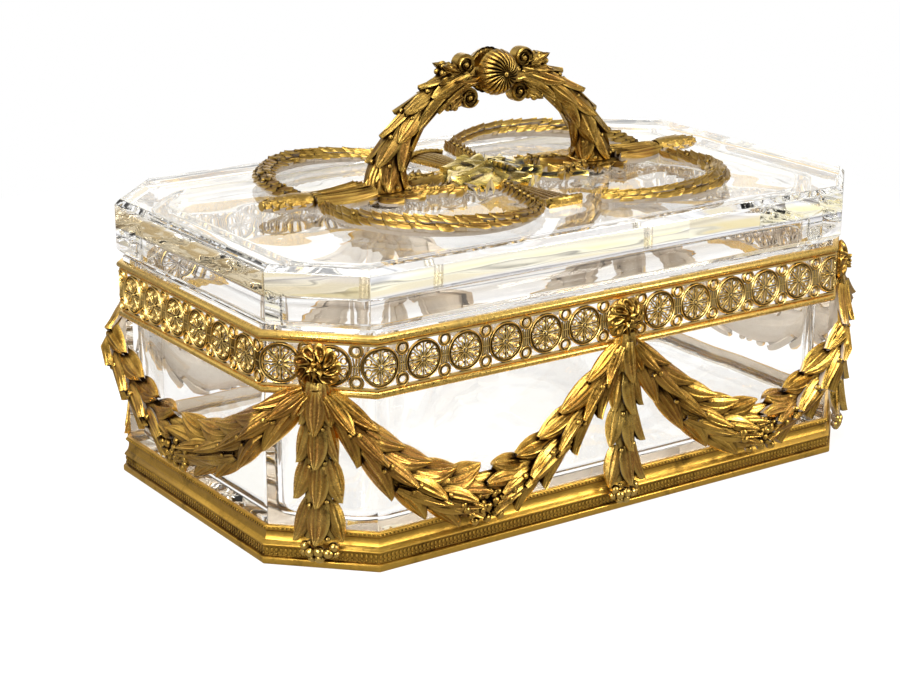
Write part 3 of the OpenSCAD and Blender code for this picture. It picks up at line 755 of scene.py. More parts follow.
def rounded(profile, r, steps=3):
    """A profile of (outwards, height) points with its inner points rounded."""
    points = [Vector(p) for p in profile]
    done = [points[0]]
    for before, here, after in zip(points, points[1:], points[2:]):
        reach = min(r, 0.45 * (before - here).length, 0.45 * (after - here).length)
        a = here + (before - here).normalized() * reach
        b = here + (after - here).normalized() * reach
        done += [a.lerp(here, s).lerp(here.lerp(b, s), s) for s in shares(steps)]
    return done + [points[-1]]


def glass_piece(name, rings, finish, body, node):
    """A closed solid of glass through rings of points, with flat faces kept flat."""
    bm = new_sheet()
    skin(bm, rings, closed=True, capped=True)
    made = piece(name, bm, finish, body, node, slot="glass", sharp=14)
    made.modifiers.new("flat_faces", "WEIGHTED_NORMAL").keep_sharp = True


# %% Glass body
LID_SEAT_GAP, FLOOR_ROUND = 0.06, 6.0
floor_z, rim_z = glass_low.z + FLOOR, seat_z - LID_SEAT_GAP
outer = rounded([(-2, glass_low.z), (0, glass_low.z), (0, rim_z), (-5, rim_z)], 0.5)
inner = rounded([(-5, rim_z), (-WALL, rim_z), (-WALL, floor_z)], 0.5)[:-1]
inner += rounded([(-WALL, 40), (-WALL, floor_z), (-30, floor_z)], FLOOR_ROUND, 8)
glass_piece("crystal_body", plan_rings(body_plan, CRISP, outer) + plan_rings(body_plan, HOLLOW_CORNER, inner),
            body_finish, "box", "glass_body")

# %% [markdown]
# The lid has chamfered edges and a locating rim below. Its underside is hollowed, so the fixings of the
# mount stay clear of what lies in the casket.

# %% Glass lid
LID_BEVEL, RIM_IN, RIM_DEPTH, RECESS_IN, RECESS_Z = 2.0, 10.6, 4.0, 15.6, seat_z + 7.5
under = rounded([(-30, RECESS_Z), (-RECESS_IN, RECESS_Z), (-RECESS_IN, seat_z - RIM_DEPTH),
                 (-RIM_IN, seat_z - RIM_DEPTH), (-RIM_IN, seat_z), (-6, seat_z)], 0.9)
upper = rounded([(-4, seat_z), (-LID_BEVEL, seat_z), (0, seat_z + LID_BEVEL), (0, lid_top - LID_BEVEL),
                 (-LID_BEVEL, lid_top), (-8, lid_top)], 0.35)
glass_piece("crystal_lid", plan_rings(body_plan, HOLLOW_CORNER, under) + plan_rings(lid_plan, CRISP, upper),
            lid_finish, "lid", "glass_lid")


# %% [markdown]
# ## Base moulding and rails
# A moulding is one profile that runs round the octagon, with a crisp mitre at each corner. Between its
# plain fillet and its hollow run two rows of tiny leaf tips, and a string of pearls closes it at the top.
# Bending a straight row round the body puts the pearls along every side at an even pitch.

# %% Mouldings
UP, OUTWARDS = (0, 0, 1), (0, -1, 0)


def moulding(bm, profile):
    """Runs a closed profile of (outwards, height) points round the body."""
    rows = [[Vector((p.x, p.y, z)) for p in octagon(body_plan, out)] for out, z in profile]
    skin(bm, rows + rows[:1], closed=True)


def pour(bm, part):
    """Adds one bmesh to another and frees it."""
    spare = kept("spare", part)
    bm.from_mesh(spare)
    bpy.data.meshes.remove(spare)


def string(bm, pitch, out, z, size):
    """A row of beads round the body."""
    count = round(round_trip / pitch)
    row = new_sheet()
    for k in range(count):
        stamp(row, bead, stand((round_trip * (k + 0.5) / count, -out, z), UP, OUTWARDS, size))
    wrap(row)
    pour(bm, row)


BASE_OUT, BASE_LIP, LEDGE, LEDGE_Z, GLASS_AIR = 3.1, 1.55, -6.0, 2.5, 0.15
BASE_PROFILE = [(GLASS_AIR, 14.0), (BASE_LIP - 0.2, 14.0), (BASE_LIP, 13.5), (BASE_LIP, 12.2),
                (0.95, 11.9), (0.85, 11.2), (1.0, 10.0), (1.5, 8.6), (2.25, 7.7), (2.6, 7.2), (2.55, 6.7),
                (2.0, 6.5), (1.95, 3.0), (2.6, 2.8), (BASE_OUT, 2.5), (BASE_OUT, 0.6), (2.7, 0.0),
                (LEDGE, 0.0)]
STRINGS = [(1.55, 1.45, 12.95, (0.66, 0.62, 0.55)), (1.6, 1.95, 5.3, (0.66, 0.95, 0.36)),
           (1.6, 2.0, 3.75, (0.45, 0.50, 0.32))]
bm = new_sheet()
moulding(bm, [(LEDGE, 0.05), (LEDGE, LEDGE_Z), (GLASS_AIR, LEDGE_Z), (GLASS_AIR, 13.9)]
         + rounded(BASE_PROFILE, 0.45, 2) + [(LEDGE, 0.0)])
for row in STRINGS:
    string(bm, *row)
piece("base_moulding_cast", bm, gilt_worn, "box", "base_moulding")

# %% [markdown]
# The two rails of the band are half-round wires soldered to the pierced strip. Each is the same kind of
# moulding, with half a circle for its profile.

# %% Rails
RAIL_STEPS = 10
rails = {name: span(name) for name in ("band_lower_rail", "band_upper_rail")}
for name, (low, high) in rails.items():
    reach, middle, half = high.x - body_plan[0] - GLASS_AIR, (high.z + low.z) / 2, (high.z - low.z) / 2
    turns = [math.pi * (0.5 - s) for s in shares(RAIL_STEPS)]
    bm = new_sheet()
    moulding(bm, [(GLASS_AIR + reach * math.cos(t), middle + half * math.sin(t)) for t in turns])
    piece(name + "_bar", bm, gilt_cast, "box", name)
fret_low, fret_high = rails["band_lower_rail"][1].z, rails["band_upper_rail"][0].z
band_mid, half_band = (fret_low + fret_high) / 2, (fret_high - fret_low) / 2
print("band runs from", round(fret_low, 2), "to", round(fret_high, 2))

# %% [markdown]
# ## Pierced band
# Forty-six wheels run round the casket. A wheel has two thin rings joined by a web, eight spokes and
# eight curled petals. Its link is three bars drawn together at mid height, with a small double ring above
# and below. Wheel and link are each made once, stamped along the flat strip, cut at the corners and
# wrapped.

# %% Wheel and link
WHEELS, WHEEL_R, SPOKES, DISC_R = 46, 7.3, 8, 2.45
WHEEL_RINGS = [(0.32, 0.32, 0.80, 40, 6), (0.75, 0.60, 0.12, 32, 5), (1.25, 0.24, 0.66, 32, 5)]
DISC_RINGS = [(DISC_R - 0.07, 0.32, 0.76, 20), (DISC_R - 0.50, 0.42, 0.12, 16), (1.35, 0.22, 0.60, 14)]


def bar(bm, a, b, width, height, swell, sides=6, bend=0.0):
    """A thin bar from a to b in the XY plane, thicker or thinner at its middle, bent sideways by bend."""
    a, b = Vector((*a, 0)), Vector((*b, 0))
    side = (b - a).cross(Vector(UP)).normalized()
    path = [a.lerp(b, s) + side * (bend * math.sin(math.pi * s)) for s in shares(6 if bend else 3)]
    rod(bm, path, lambda t: (width * (1 + swell * math.sin(math.pi * t)), height), UP, sides)


def add_ring(bm, spot, radius, width, height, steps, sides=5):
    """A ring round a point of the XY plane."""
    part = new_sheet()
    circle = bmesh.ops.create_circle(part, segments=sides, radius=1.0)["verts"]
    lay = Matrix(((width, 0, 0, radius), (0, 0, 1, 0), (0, height, 0, 0), (0, 0, 0, 1)))
    bmesh.ops.transform(part, matrix=lay, verts=circle)
    bmesh.ops.spin(part, geom=part.verts[:] + part.edges[:], cent=(0, 0, 0), axis=UP, angle=math.tau,
                   steps=steps, use_merge=True)
    bmesh.ops.recalc_face_normals(part, faces=part.faces)
    bmesh.ops.translate(part, vec=(*spot, 0), verts=part.verts)
    pour(bm, part)


def turn(angle, r):
    """A point at a distance and at an angle from +Y."""
    return r * math.sin(angle), r * math.cos(angle)


bm = new_sheet()
for inset, width, height, steps, sides in WHEEL_RINGS:
    add_ring(bm, (0, 0), WHEEL_R - inset, width, height, steps, sides)
for a in angles(SPOKES):
    bar(bm, turn(a, 0.9), turn(a, WHEEL_R - 1.2), 0.42, 0.66, -0.2)
    middle = a + math.pi / SPOKES
    add_ring(bm, turn(middle, WHEEL_R - 2.60), 1.0, 0.32, 0.50, 12)
    bar(bm, turn(middle, 1.2), turn(middle, WHEEL_R - 3.4), 0.34, 0.42, 0.6, 5)
add_ring(bm, (0, 0), 1.2, 0.36, 0.6, 14)
lay_berry(bm, (0, 0, 0.2), 0.70, bead)
wheel = shape("wheel", bm)

bm = new_sheet()
for side in (-1, 1):
    for ring in DISC_RINGS:
        add_ring(bm, (0, side * (half_band - DISC_R - 0.1)), *ring)
    bar(bm, (side * 1.15, 5.2 - half_band), (side * 1.15, half_band - 5.2), 0.36, 0.56, 0, 5, -0.35 * side)
bar(bm, (0, 5.0 - half_band), (0, half_band - 5.0), 0.34, 0.56, 0, 5)
bar(bm, (-1.7, 0), (1.7, 0), 0.34, 0.6, 0.1)
link = shape("link", bm)
print("wheel", len(wheel.polygons), "faces, link", len(link.polygons))

# %% Band
FRET_OUT, EDGE_IN, EDGE_OUT, EDGE_HALF = 0.95, 0.35, 1.4, 0.35


def cut_at(bm, mark):
    """Cuts a flat strip at a corner of the body, so that it bends there."""
    bmesh.ops.bisect_plane(bm, geom=bm.verts[:] + bm.edges[:] + bm.faces[:], plane_co=(mark, 0, 0),
                           plane_no=(1, 0, 0), dist=1e-4)


strip = new_sheet()
for k in range(WHEELS):
    along = round_trip * k / WHEELS
    for mesh, shift in ((wheel, 0), (link, round_trip / WHEELS / 2)):
        stamp(strip, mesh, stand((along + shift, -FRET_OUT, band_mid), UP, OUTWARDS))
for mark in marks[:-1]:
    cut_at(strip, mark)
wrap(strip)
for z in (fret_low + EDGE_HALF, fret_high - EDGE_HALF):
    moulding(strip, [(EDGE_IN, z + EDGE_HALF), (EDGE_OUT, z + EDGE_HALF),
                     (EDGE_OUT, z - EDGE_HALF), (EDGE_IN, z - EDGE_HALF)])
piece("pierced_band", strip, gilt_strip, "box", *(n for n in nodes if n.startswith("fret_")), slot="fretwork")


# %% [markdown]
# ## Rosettes
# A rosette is a pillow of curled petals that turn like a pinwheel. A skin laid in rings round its middle
# makes it: the height of each point is a dome, less the hollow of its petal, and the petals lean over
# towards the rim. A small flower is the head of the screw that holds it.

# %% Rosette shapes
PIN_EYE = 0.08


def pinwheel(r, depth, petals, swirl, hollow, rings, per_petal, fall, scallop):
    """A domed disc of petals that faces +Z, with its back at z = 0."""
    bm = new_sheet()
    rows = []
    for s in shares(rings):
        f = PIN_EYE + (1 - PIN_EYE) * s ** 0.8
        row = []
        for a in angles(petals * per_petal):
            phase = (petals * a / math.tau + swirl * (1 - f) ** 1.3) % 1
            rim = f ** 6 * scallop * (1 - (2 * phase - 1) ** 2)
            z = depth * (1 - fall[0] * f ** fall[1]) * (1 - hollow(f, phase))
            row.append(around(r * f * (1 - 0.10 * f ** 5 + rim * 0.45), a, z))
        rows.append(row)
    edge = rows[-1]
    rows += [[Vector((w * p.x, w * p.y, z)) for p in edge] for w, z in ((0.97, 0.15 * depth), (0.85, 0))]
    skin(bm, rows, closed=True, capped=True)
    return bm


def hooked(f, phase):
    """Petals rolled over at the rim: a ridge goes round a deep eye with a small bead in it."""
    ring = math.hypot((phase - 0.52) / 0.40, (f - 0.66) / 0.30)
    ridge = math.exp(-((ring - 1.0) / 0.30) ** 2)
    eye = math.exp(-((ring / 0.52) ** 4))
    return 0.26 * (1 - ridge) * min(1, 3.2 * f) + 0.18 * eye - 0.06 * math.exp(-((ring / 0.22) ** 2))


wall_rosette = shape("wall_rosette", pinwheel(8.3, 4.4, 9, 1.0, hooked, 20, 16, (0.62, 3.2), 0.22))
bm = new_sheet()
for a in angles(5):
    lay_leaf(bm, small_laurel, around(0.2, a, 0.2), around(2.9, a, 0.5), UP, 1.05, 1.0)
lay_berry(bm, (0, 0, 1.1), 0.85)
bmesh.ops.create_cone(bm, cap_ends=True, segments=16, radius1=1.0, radius2=1.0, depth=5.4,
                      matrix=Matrix.Translation((0, 0, -2.6)))
screw_flower = shape("screw_flower", bm)
print("wall rosette has", len(wall_rosette.polygons), "faces")

# %% Wall rosettes
ROSETTE_BACK, FLOWER_OUT = 1.8, 3.9
HANG_FACE = [0, 45, 135, 180, 225, 315]


def at_hang(i, out):
    """Matrix of a thing that faces outwards from the band at a hanging point."""
    k, share = stretch(hang[i])
    spot, face = home[k].lerp(home[k + 1], share), around(1, math.radians(HANG_FACE[i] - 90))
    return stand((spot.x + out * face.x, spot.y + out * face.y, band_mid), UP, face)


screws = new_sheet()
for i, name in enumerate(HANG_NAMES):
    bm = new_sheet()
    stamp(bm, wall_rosette, at_hang(i, ROSETTE_BACK) @ Matrix.Rotation(0.5 * i, 4, "Z"))
    piece("rosette_flower_" + name, bm, gilt_rosette, "box", "rosette_" + name)
    stamp(screws, screw_flower, at_hang(i, ROSETTE_BACK + FLOWER_OUT) @ Matrix.Rotation(0.9 * i, 4, "Z"))
piece("rosette_screw_flowers", screws, gilt_rosette, "box", "rosette_screws", slot="fastener")


# %% [markdown]
# ## Pendants
# Under each rosette hangs a chain of leaves in tiers. A tier is one leaf in front and one to each side,
# with a pair of berries over their tips. The chain widens as it falls, and ends in a bunch of berries
# over the base.

# %% Pendants
PENDANT_BACK = 3.4
TIERS = [(50.0, 53.0, 4.2), (38.0, 40.0, 5.8), (24.0, 26.0, 6.9), (10.5, 11.0, 7.4)]
BUNCH = [(-4.4, 1.4, 9.0, 1.8), (0.0, 2.4, 7.4, 2.0), (4.4, 1.4, 9.0, 1.8), (-2.7, 2.3, 7.0, 1.8),
         (2.7, 2.3, 7.0, 1.8), (0.1, 2.0, 4.9, 1.8), (-5.0, 1.0, 6.6, 1.5), (5.0, 1.0, 6.4, 1.4),
         (-2.3, 1.6, 4.7, 1.5)]


def pendant(i, name, rng):
    """A chain of leaves, drawn in the flat frame at x = 0 and hanging along -Z."""
    bm = new_sheet()
    y = -PENDANT_BACK
    rod(bm, [Vector((0, y - 1.2, z)) for z in (65.5, 60, 50, 38, 24, 12)],
        lambda t: (2.4 + 2.6 * t, 1.3), OUTWARDS, 8)
    for k, (tip, side_tip, fan) in enumerate(TIERS):
        for side in (-1, 1):
            lay_leaf(bm, laurel, (side * 0.42 * fan, y - 0.4, side_tip + 15.0),
                     (side * 0.92 * fan + rng.uniform(-0.3, 0.3), y - 0.9, side_tip + rng.uniform(-0.6, 0.6)),
                     (0.50 * side, -1, 0), 3.3 + 0.14 * k, 1.7)
        lay_leaf(bm, laurel, (rng.uniform(-0.3, 0.3), y - 1.5, tip + 15.0),
                 (rng.uniform(-0.4, 0.4), y - 3.1, tip), OUTWARDS, 3.3 + 0.12 * k, 1.9)
        for side in (-1, 1):
            lay_berry(bm, (side * (0.30 * fan + 0.5), y - 2.3, tip + 1.0 + 0.8 * side), 0.95)
    for x, out, z, r in BUNCH:
        lay_berry(bm, (x, y - out, z), r)
    # three short leaves tie the chain below the rosette
    for side in (-1, 0, 1):
        lay_leaf(bm, laurel, (side * 0.8, y - 0.2, 66.0), (side * 5.2, y - 1.0, 56.0),
                 (0.3 * side, -1, 0), 2.6, 1.5)
    bmesh.ops.translate(bm, vec=(hang[i], 0, 0), verts=bm.verts)
    wrap(bm)
    piece("pendant_leaves_" + name, bm, gilt_pendant, "box", "pendant_" + name)


for i, name in enumerate(HANG_NAMES):
    pendant(i, name, random.Random(40 + i))

# %% [markdown]
# ## Swags
# A swag is a garland that hangs between two rosettes and is thickest in the middle. Tiers of long leaves
# run from each end towards the middle, where they meet over a bunch of berries. The leaves are drawn
# along a hanging curve in the flat frame. The strip is then cut at the body's corners, so that it bends
# there and nowhere else.

# %% Swags
SWAG_TOP, SWAG_END, SWAG_BACK = 68.0, 0.94, 2.55
SWAG_LOW, SHORT_SWAG_LOW = 21.0, 30.0
SWAG_TIPS = [0.78, 0.61, 0.43, 0.24, 0.05]
LANE_LAG = {0: 0.03, -1: 0.085, 1: 0.0}


def swag_depth(t):
    """Half depth of the garland's core."""
    return 1.4 + 1.2 * (1 - abs(t))


def swag_half(t):
    """Half height of the garland across its curve."""
    return 9.6 - 4.3 * abs(t) - 3.8 * max(0.0, abs(t) - 0.72) / 0.22


def swag_tiers(bm, spot, rng):
    """Tiers of three leaves, from both ends to the middle."""
    for side in (-1, 1):
        for k, tip_at in enumerate(SWAG_TIPS):
            for lane, lag in LANE_LAG.items():
                t1 = tip_at + lag + rng.uniform(-0.012, 0.012)
                t0 = min(0.95, t1 + 0.25)
                wide = swag_half(t1)
                base = spot(side * t0, lane * swag_half(t0) * 0.45, swag_depth(t0) * (1.5 - 0.7 * abs(lane)))
                tip = spot(side * t1, lane * (wide - 1.9), swag_depth(t1) * (2.1 - 1.0 * abs(lane)) + 1.2)
                half = (5.1 if lane else 3.7) * (0.74 + 0.07 * k)
                mesh = (laurel, blade_right, blade_left)[lane * side]
                lay_leaf(bm, mesh, base, tip, (0, -1, 0.65 * lane), half, 2.0)
                if lane == 0 and k > 2:
                    lay_leaf(bm, laurel, base + Vector((side * 3, 0, -2.6)),
                             tip + Vector((-side * 2, 0.5, -3.2)), OUTWARDS, half, 1.9)
            lay_berry(bm, spot(side * (tip_at + 0.015), 0.10 * wide, swag_depth(t1) * 2 + 1.6), 1.15)
            lay_berry(bm, spot(side * (tip_at + 0.03), -0.30 * wide, swag_depth(t1) * 2 + 1.3), 0.9)


def swag_middle(bm, spot, rng):
    """Four leaves and a bunch of berries where the tiers meet."""
    face_out = 2 * swag_depth(0)
    thick = face_out - 0.8
    for lean in (-1, 1):
        lay_leaf(bm, laurel, spot(0.22 * lean, 1.5, thick), spot(-0.02 * lean, 3.2 + 1.6 * lean, thick + 1.5),
                 (0, -1, 0.25), 3.8, 1.9)
        lay_leaf(bm, laurel, spot(0.20 * lean, -3.5, thick), spot(0.03 * lean, -6.0, thick + 0.8),
                 (0, -1, -0.3), 3.6, 1.9)
    for row in range(4):
        for k in range(6 - row):
            t = 0.062 * (k - (5 - row) / 2) + rng.uniform(-0.012, 0.012)
            off = -swag_half(0) * (0.18 + 0.24 * row) + rng.uniform(-0.4, 0.4)
            lay_berry(bm, spot(t, off, face_out + rng.uniform(0.6, 1.6) - 0.5 * row), rng.uniform(1.45, 1.9))
    for k in range(9):
        place = spot(rng.uniform(-0.07, 0.07), rng.uniform(-4.5, 3.0), face_out + rng.uniform(0.4, 1.6))
        lay_berry(bm, place, rng.uniform(1.3, 1.7))


def swag(i, name, low, rng):
    """A garland from one hanging point to the next."""
    start, end = hang[i], hang[i + 1] if i < 5 else round_trip
    middle, reach = (start + end) / 2, (end - start) / 2
    dip = SWAG_TOP - low

    def spot(t, off, out):
        """A point at t from -1 to 1, so far across the hanging curve and so far out."""
        slope = Vector((-2 * dip * t, reach)).normalized()
        along, up = middle + reach * t + off * slope.x, low + dip * t * t + off * slope.y
        return Vector((along, -SWAG_BACK - out, up))

    def core(f):
        t = SWAG_END * (2 * f - 1)
        return swag_half(t) * 0.84, swag_depth(t)

    bm = new_sheet()
    path = [spot(t, 0, swag_depth(t)) for t in (SWAG_END * k / 14 for k in range(-14, 15))]
    rod(bm, path, core, OUTWARDS, 10)
    swag_tiers(bm, spot, rng)
    swag_middle(bm, spot, rng)
    for mark in marks:
        for cut in (mark, mark + round_trip):
            if start < cut < end:
                cut_at(bm, cut)
    wrap(bm)
    piece("swag_leaves_" + name, bm, gilt_leaf, "box", "swag_" + name)


for i, name in enumerate(("front_right", "right", "back_right", "back_left", "left", "front_left")):
    swag(i, name, SHORT_SWAG_LOW if name in ("left", "right") else SWAG_LOW, random.Random(70 + i))


# %% [markdown]
# ## Mount on the lid
# Four laurel wreaths loop over the lid. Each starts at the knot of a torch, whose cup carries a foot of
# the handle, and ends under a palmette on the front or back. All four are one drawing, mirrored.

# %% Wreaths
WREATH_FROM, WREATH_TO, WREATH_ROWS = -20.0, 138.0, 25
WREATH_MIDDLE, WREATH_RADII = (43.0, 22.0), (38.0, 42.0)
LIMB_START, LIMB_ROWS, LID_AIR = (7.2, 18.5), 8, 0.1


def wreath_half(t):
    """Half width of a wreath along its loop."""
    return 1.9 + 1.25 * math.sin(math.pi * min(1, t * 1.15))


def wreath_spot(t, off=0.0, up=0.0):
    """A point at t from 0 to 1 along the loop, so far outwards and so far above the lid."""
    a = math.radians(WREATH_FROM + (WREATH_TO - WREATH_FROM) * t)
    rx, ry = WREATH_RADII
    out = Vector((math.cos(a) / rx, math.sin(a) / ry)).normalized()
    return Vector((WREATH_MIDDLE[0] + rx * math.cos(a) + off * out.x,
                   WREATH_MIDDLE[1] + ry * math.sin(a) + off * out.y, lid_top + up))


def wreath_sheet(rng):
    """One wreath over the quarter of the lid where x and y are above zero."""
    bm = new_sheet()
    rod(bm, [wreath_spot(t, 0, wreath_half(t)) for t in shares(40)],
        lambda t: (wreath_half(t) * 0.9, wreath_half(t)), UP, 10)
    for k in range(WREATH_ROWS):
        t0, t1 = min(1, (k + 1.6) / WREATH_ROWS), max(0, (k - 0.1) / WREATH_ROWS)
        r = wreath_half(t1)
        for lane in (-0.8, 0.8, 0):
            skew = 0.5 / WREATH_ROWS * (lane == 0)
            flare = rng.uniform(0.88, 1.06)
            high = 1.95 - 1.1 * lane * lane
            base = wreath_spot(min(1, t0 + skew), 0.85 * lane * r, 0.92 * r * high)
            tip = wreath_spot(t1 + skew + rng.uniform(-0.012, 0.012), lane * r * flare, r * high - 0.15)
            face = (0.3 * rng.uniform(-1, 1), 0.3 * rng.uniform(-1, 1), 1)
            lay_leaf(bm, laurel, base, tip, face, r * (0.85 + 0.1 * (lane == 0)), 1.4)
        if k % 2 and k > 1:
            lay_berry(bm, wreath_spot(t1 + 0.01, rng.uniform(-0.9, 0.9) * r, r * 1.9), 0.95)
    return bm


def add_limb(bm):
    """A beaded rod with leaves that joins a wreath to the middle of the lid."""
    start, end = Vector((*LIMB_START, lid_top)), wreath_spot(0.985)
    rod(bm, [start.lerp(end, s) + Vector((0, 0, 1.9)) for s in shares(24)],
        lambda t: [1.9 + 0.5 * math.sin(LIMB_ROWS * math.pi * t)] * 2, UP)
    for k in range(LIMB_ROWS):
        at, to = (start.lerp(end, (k + f) / LIMB_ROWS) for f in (-0.1, 1.35))
        for lane in (-1, 1):
            shift = Vector((1.7 * lane, 0.8 * lane, 2.5))
            tip = to + shift + Vector((0, 0, 0.9))
            lay_leaf(bm, laurel, at + 0.8 * shift, tip, (0.3 * lane, 0, 1), 2.1, 1.7)
        lay_berry(bm, (at.x, at.y, at.z + 4.2), 1.2)


def mount(name, bm, finish, node, turned=False):
    """Finishes a piece of the mount, if need be turned to the other side of the lid first. It is kept a hair
    above the glass, so that its underside still gets light."""
    if turned:
        bmesh.ops.rotate(bm, cent=(0, 0, 0), matrix=Matrix.Rotation(math.pi, 3, "Z"), verts=bm.verts)
    for v in bm.verts:
        v.co.z = max(v.co.z, lid_top + LID_AIR)
    piece(name, bm, finish, "lid", node)


QUARTERS = [(-1, -1, "front_left"), (1, -1, "front_right"), (-1, 1, "back_left"), (1, 1, "back_right")]
for sx, sy, name in QUARTERS:
    bm = wreath_sheet(random.Random(7 + 3 * sx + sy))
    if sx == sy:
        add_limb(bm)
    bmesh.ops.scale(bm, vec=(sx, sy, 1), verts=bm.verts)
    if sx != sy:
        bmesh.ops.reverse_faces(bm, faces=bm.faces)
    mount("wreath_leaves_" + name, bm, gilt_top, "lid_wreath_" + name)

# %% [markdown]
# A palmette is a fan of ribs with a rolled lip, cast in one piece. A grid takes the wave of the ribs, its
# rim is pulled down to the glass, and a thick wire closes the wide end.

# %% Palmettes
FAN_FROM, FAN_LONG, FAN_RIBS = 15.5, 32, 3.5


def palmette():
    """A ribbed fan along +Y that ends in a rolled lip."""
    bm = new_sheet()
    rows = []
    for t in shares(14):
        half = 2.2 + 5.4 * t ** 0.8
        row = []
        for u in (2 * s - 1 for s in shares(42)):
            rib = 0.9 * abs(math.cos(FAN_RIBS * math.pi * u)) * (0.35 + 0.65 * t) * (1 - t ** 6)
            dome = 1.5 * (1 - u * u) * (0.5 + 0.5 * t)
            row.append(Vector((half * u, FAN_FROM + FAN_LONG * t, lid_top + 1.3 + dome + rib)))
        rows.append(row)
    skin(bm, rows)
    for v in pull_rim(bm):
        v.co.z = lid_top
    bmesh.ops.holes_fill(bm, edges=open_rim(bm), sides=0)
    bmesh.ops.recalc_face_normals(bm, faces=bm.faces)
    lip = [Vector((8.0 * u, 47.2 - 1.6 * u * u, lid_top + 2.0 + 0.7 * (1 - u * u)))
           for u in (2 * s - 1 for s in shares(16))]
    rod(bm, lip, lambda t: (1.2, 1.5 + 0.25 * math.cos(math.tau * 7 * t)), UP, 10)
    return bm


mount("palmette_front", palmette(), gilt_smooth, "lid_fan_front", turned=True)
mount("palmette_back", palmette(), gilt_smooth, "lid_fan_back")


# %% [markdown]
# ## Torches
# On the long axis lie two torches. Each has a scaly cone for its flame, a knot, a fluted cup, a flat pad
# for the handle's foot, and an arm of acanthus that scrolls out to a ball on each side.

# %% Torches
TORCH_TIP, CONE_LONG, PAD_X, PAD_T, ARM_FROM = 101.0, 19, 48.0, 3.0, 21.5
CONE_FROM = TORCH_TIP - CONE_LONG
CONE_ROWS, CONE_SCALES, PAD_LEAVES = 7, 8, 14


def cone_swell(t):
    """How thick the pinecone is along its length, blunt at the knot and narrower at its tip."""
    return math.sin(math.pi * (0.26 + 0.62 * t)) ** 0.8


def torch_flame(bm, z):
    """The pinecone, its knot and the leaves of the cup it stands in."""
    rod(bm, [Vector((CONE_FROM - 1 + 20 * f, 0, z + 3.9)) for f in shares(12)],
        lambda t: (4.3 * cone_swell(t), 3.4 * cone_swell(t)), UP, 14)
    for row in range(CONE_ROWS):
        f = (row + 0.5) / CONE_ROWS
        r = cone_swell(f)
        for a in angles(CONE_SCALES, 0.5 * (row % 2)):
            if math.sin(a) < -0.6:
                continue
            face = Vector((0, math.cos(a), math.sin(a)))
            here = Vector((CONE_FROM + 17.4 * f - 1.2, 3.9 * r * face.y, z + 3.8 + 2.8 * r * face.z))
            lay_leaf(bm, small_laurel, here, here + Vector((3.6, 0, 0)) - face * 0.1, face, 1.7, 0.6)
    for x, r in ((CONE_FROM - 1.0, 3.3), (CONE_FROM - 4.0, 3.6)):
        lay_berry(bm, (x, 0, z + 0.8 * r), r)
    for lane in (-3, 3, -2, 2, -1, 1, 0):
        lay_leaf(bm, laurel, (CONE_FROM - 2, lane * 1.15, z + 3.4 - 0.2 * abs(lane)),
                 (PAD_X + 8.5, lane * 2.5, z + 3.4 - 0.35 * abs(lane)), (0, 0.12 * lane, 1), 2.5, 2.6)


def torch_pad(bm, z):
    """The pad under the handle's foot, with leaves all round."""
    lay = Matrix.Translation((PAD_X, 0, z + PAD_T / 2)) @ Matrix.Diagonal((1.35, 1, 1, 1))
    bmesh.ops.create_cone(bm, cap_ends=True, segments=28, radius1=9.6, radius2=9.0, depth=PAD_T, matrix=lay)
    for c, s in ((math.cos(a), math.sin(a)) for a in angles(PAD_LEAVES, 0.5)):
        lay_leaf(bm, laurel, (PAD_X + 9.5 * c, 6.6 * s, z + 1.6), (PAD_X + 16.0 * c, 12.5 * s, z + 1.2),
                 (0.2 * c, 0.2 * s, 1), 2.6, 1.3)


def torch_arm(bm, z, rng):
    """Two scrolls with sprays of leaves, which part round a leaf towards the middle."""
    for side in (-1, 1):
        for f in shares(5):
            at = Vector((PAD_X - 7 - 15 * f, side * (4.5 + 7 * math.sin(math.pi * f / 2)), z + 2.0))
            for splay in (-1, 1):
                angle = math.pi + splay * rng.uniform(0.5, 1.0)
                reach = rng.uniform(5.5, 7.5)
                c, s = math.cos(angle), side * math.sin(angle)
                tip = at + Vector((reach * c, reach * s, rng.uniform(-0.6, 0.8)))
                lay_leaf(bm, laurel, at, tip, (0.3 * c, 0.3 * s, 1), 2.7, 2.0)
            lay_berry(bm, at + Vector((0, 0, 1.4)), 1.6)
        rod(bm, [Vector((PAD_X - 6 - 16 * f, side * (3.5 + 8 * math.sin(math.pi * f / 2)), z + 1.8))
                 for f in shares(8)], lambda t: (2.6 - 0.6 * t, 1.8), UP, 8)
        lay_berry(bm, (25.5, side * 12.0, z + 2.4), 2.4)
        lay_leaf(bm, laurel, (PAD_X + 7, side * 7, z + 1.4), (PAD_X + 3, side * 18, z + 1.8), UP, 2.6, 1.5)
        lay_leaf(bm, laurel, (PAD_X - 2, side * 7, z + 1.4), (PAD_X - 8, side * 15, z + 1.4), UP, 2.4, 1.4)
    lay_leaf(bm, oak, (PAD_X - 7, 0, z + 2.0), (ARM_FROM + 1, 0, z + 3.0), UP, 5.6, 2.6)


for name in ("left", "right"):
    bm = new_sheet()
    torch_flame(bm, lid_top)
    torch_pad(bm, lid_top)
    torch_arm(bm, lid_top, random.Random(5))
    mount("torch_" + name, bm, gilt_top, "lid_torch_" + name, turned=name == "left")

# %% [markdown]
# ## Middle of the lid
# Three rings of oak leaves overlap into a dome under the handle, and four more leaves fill the gaps between
# the wreaths. Their gilding is bright on one side and painted almost black on the other, which is painted
# shade.

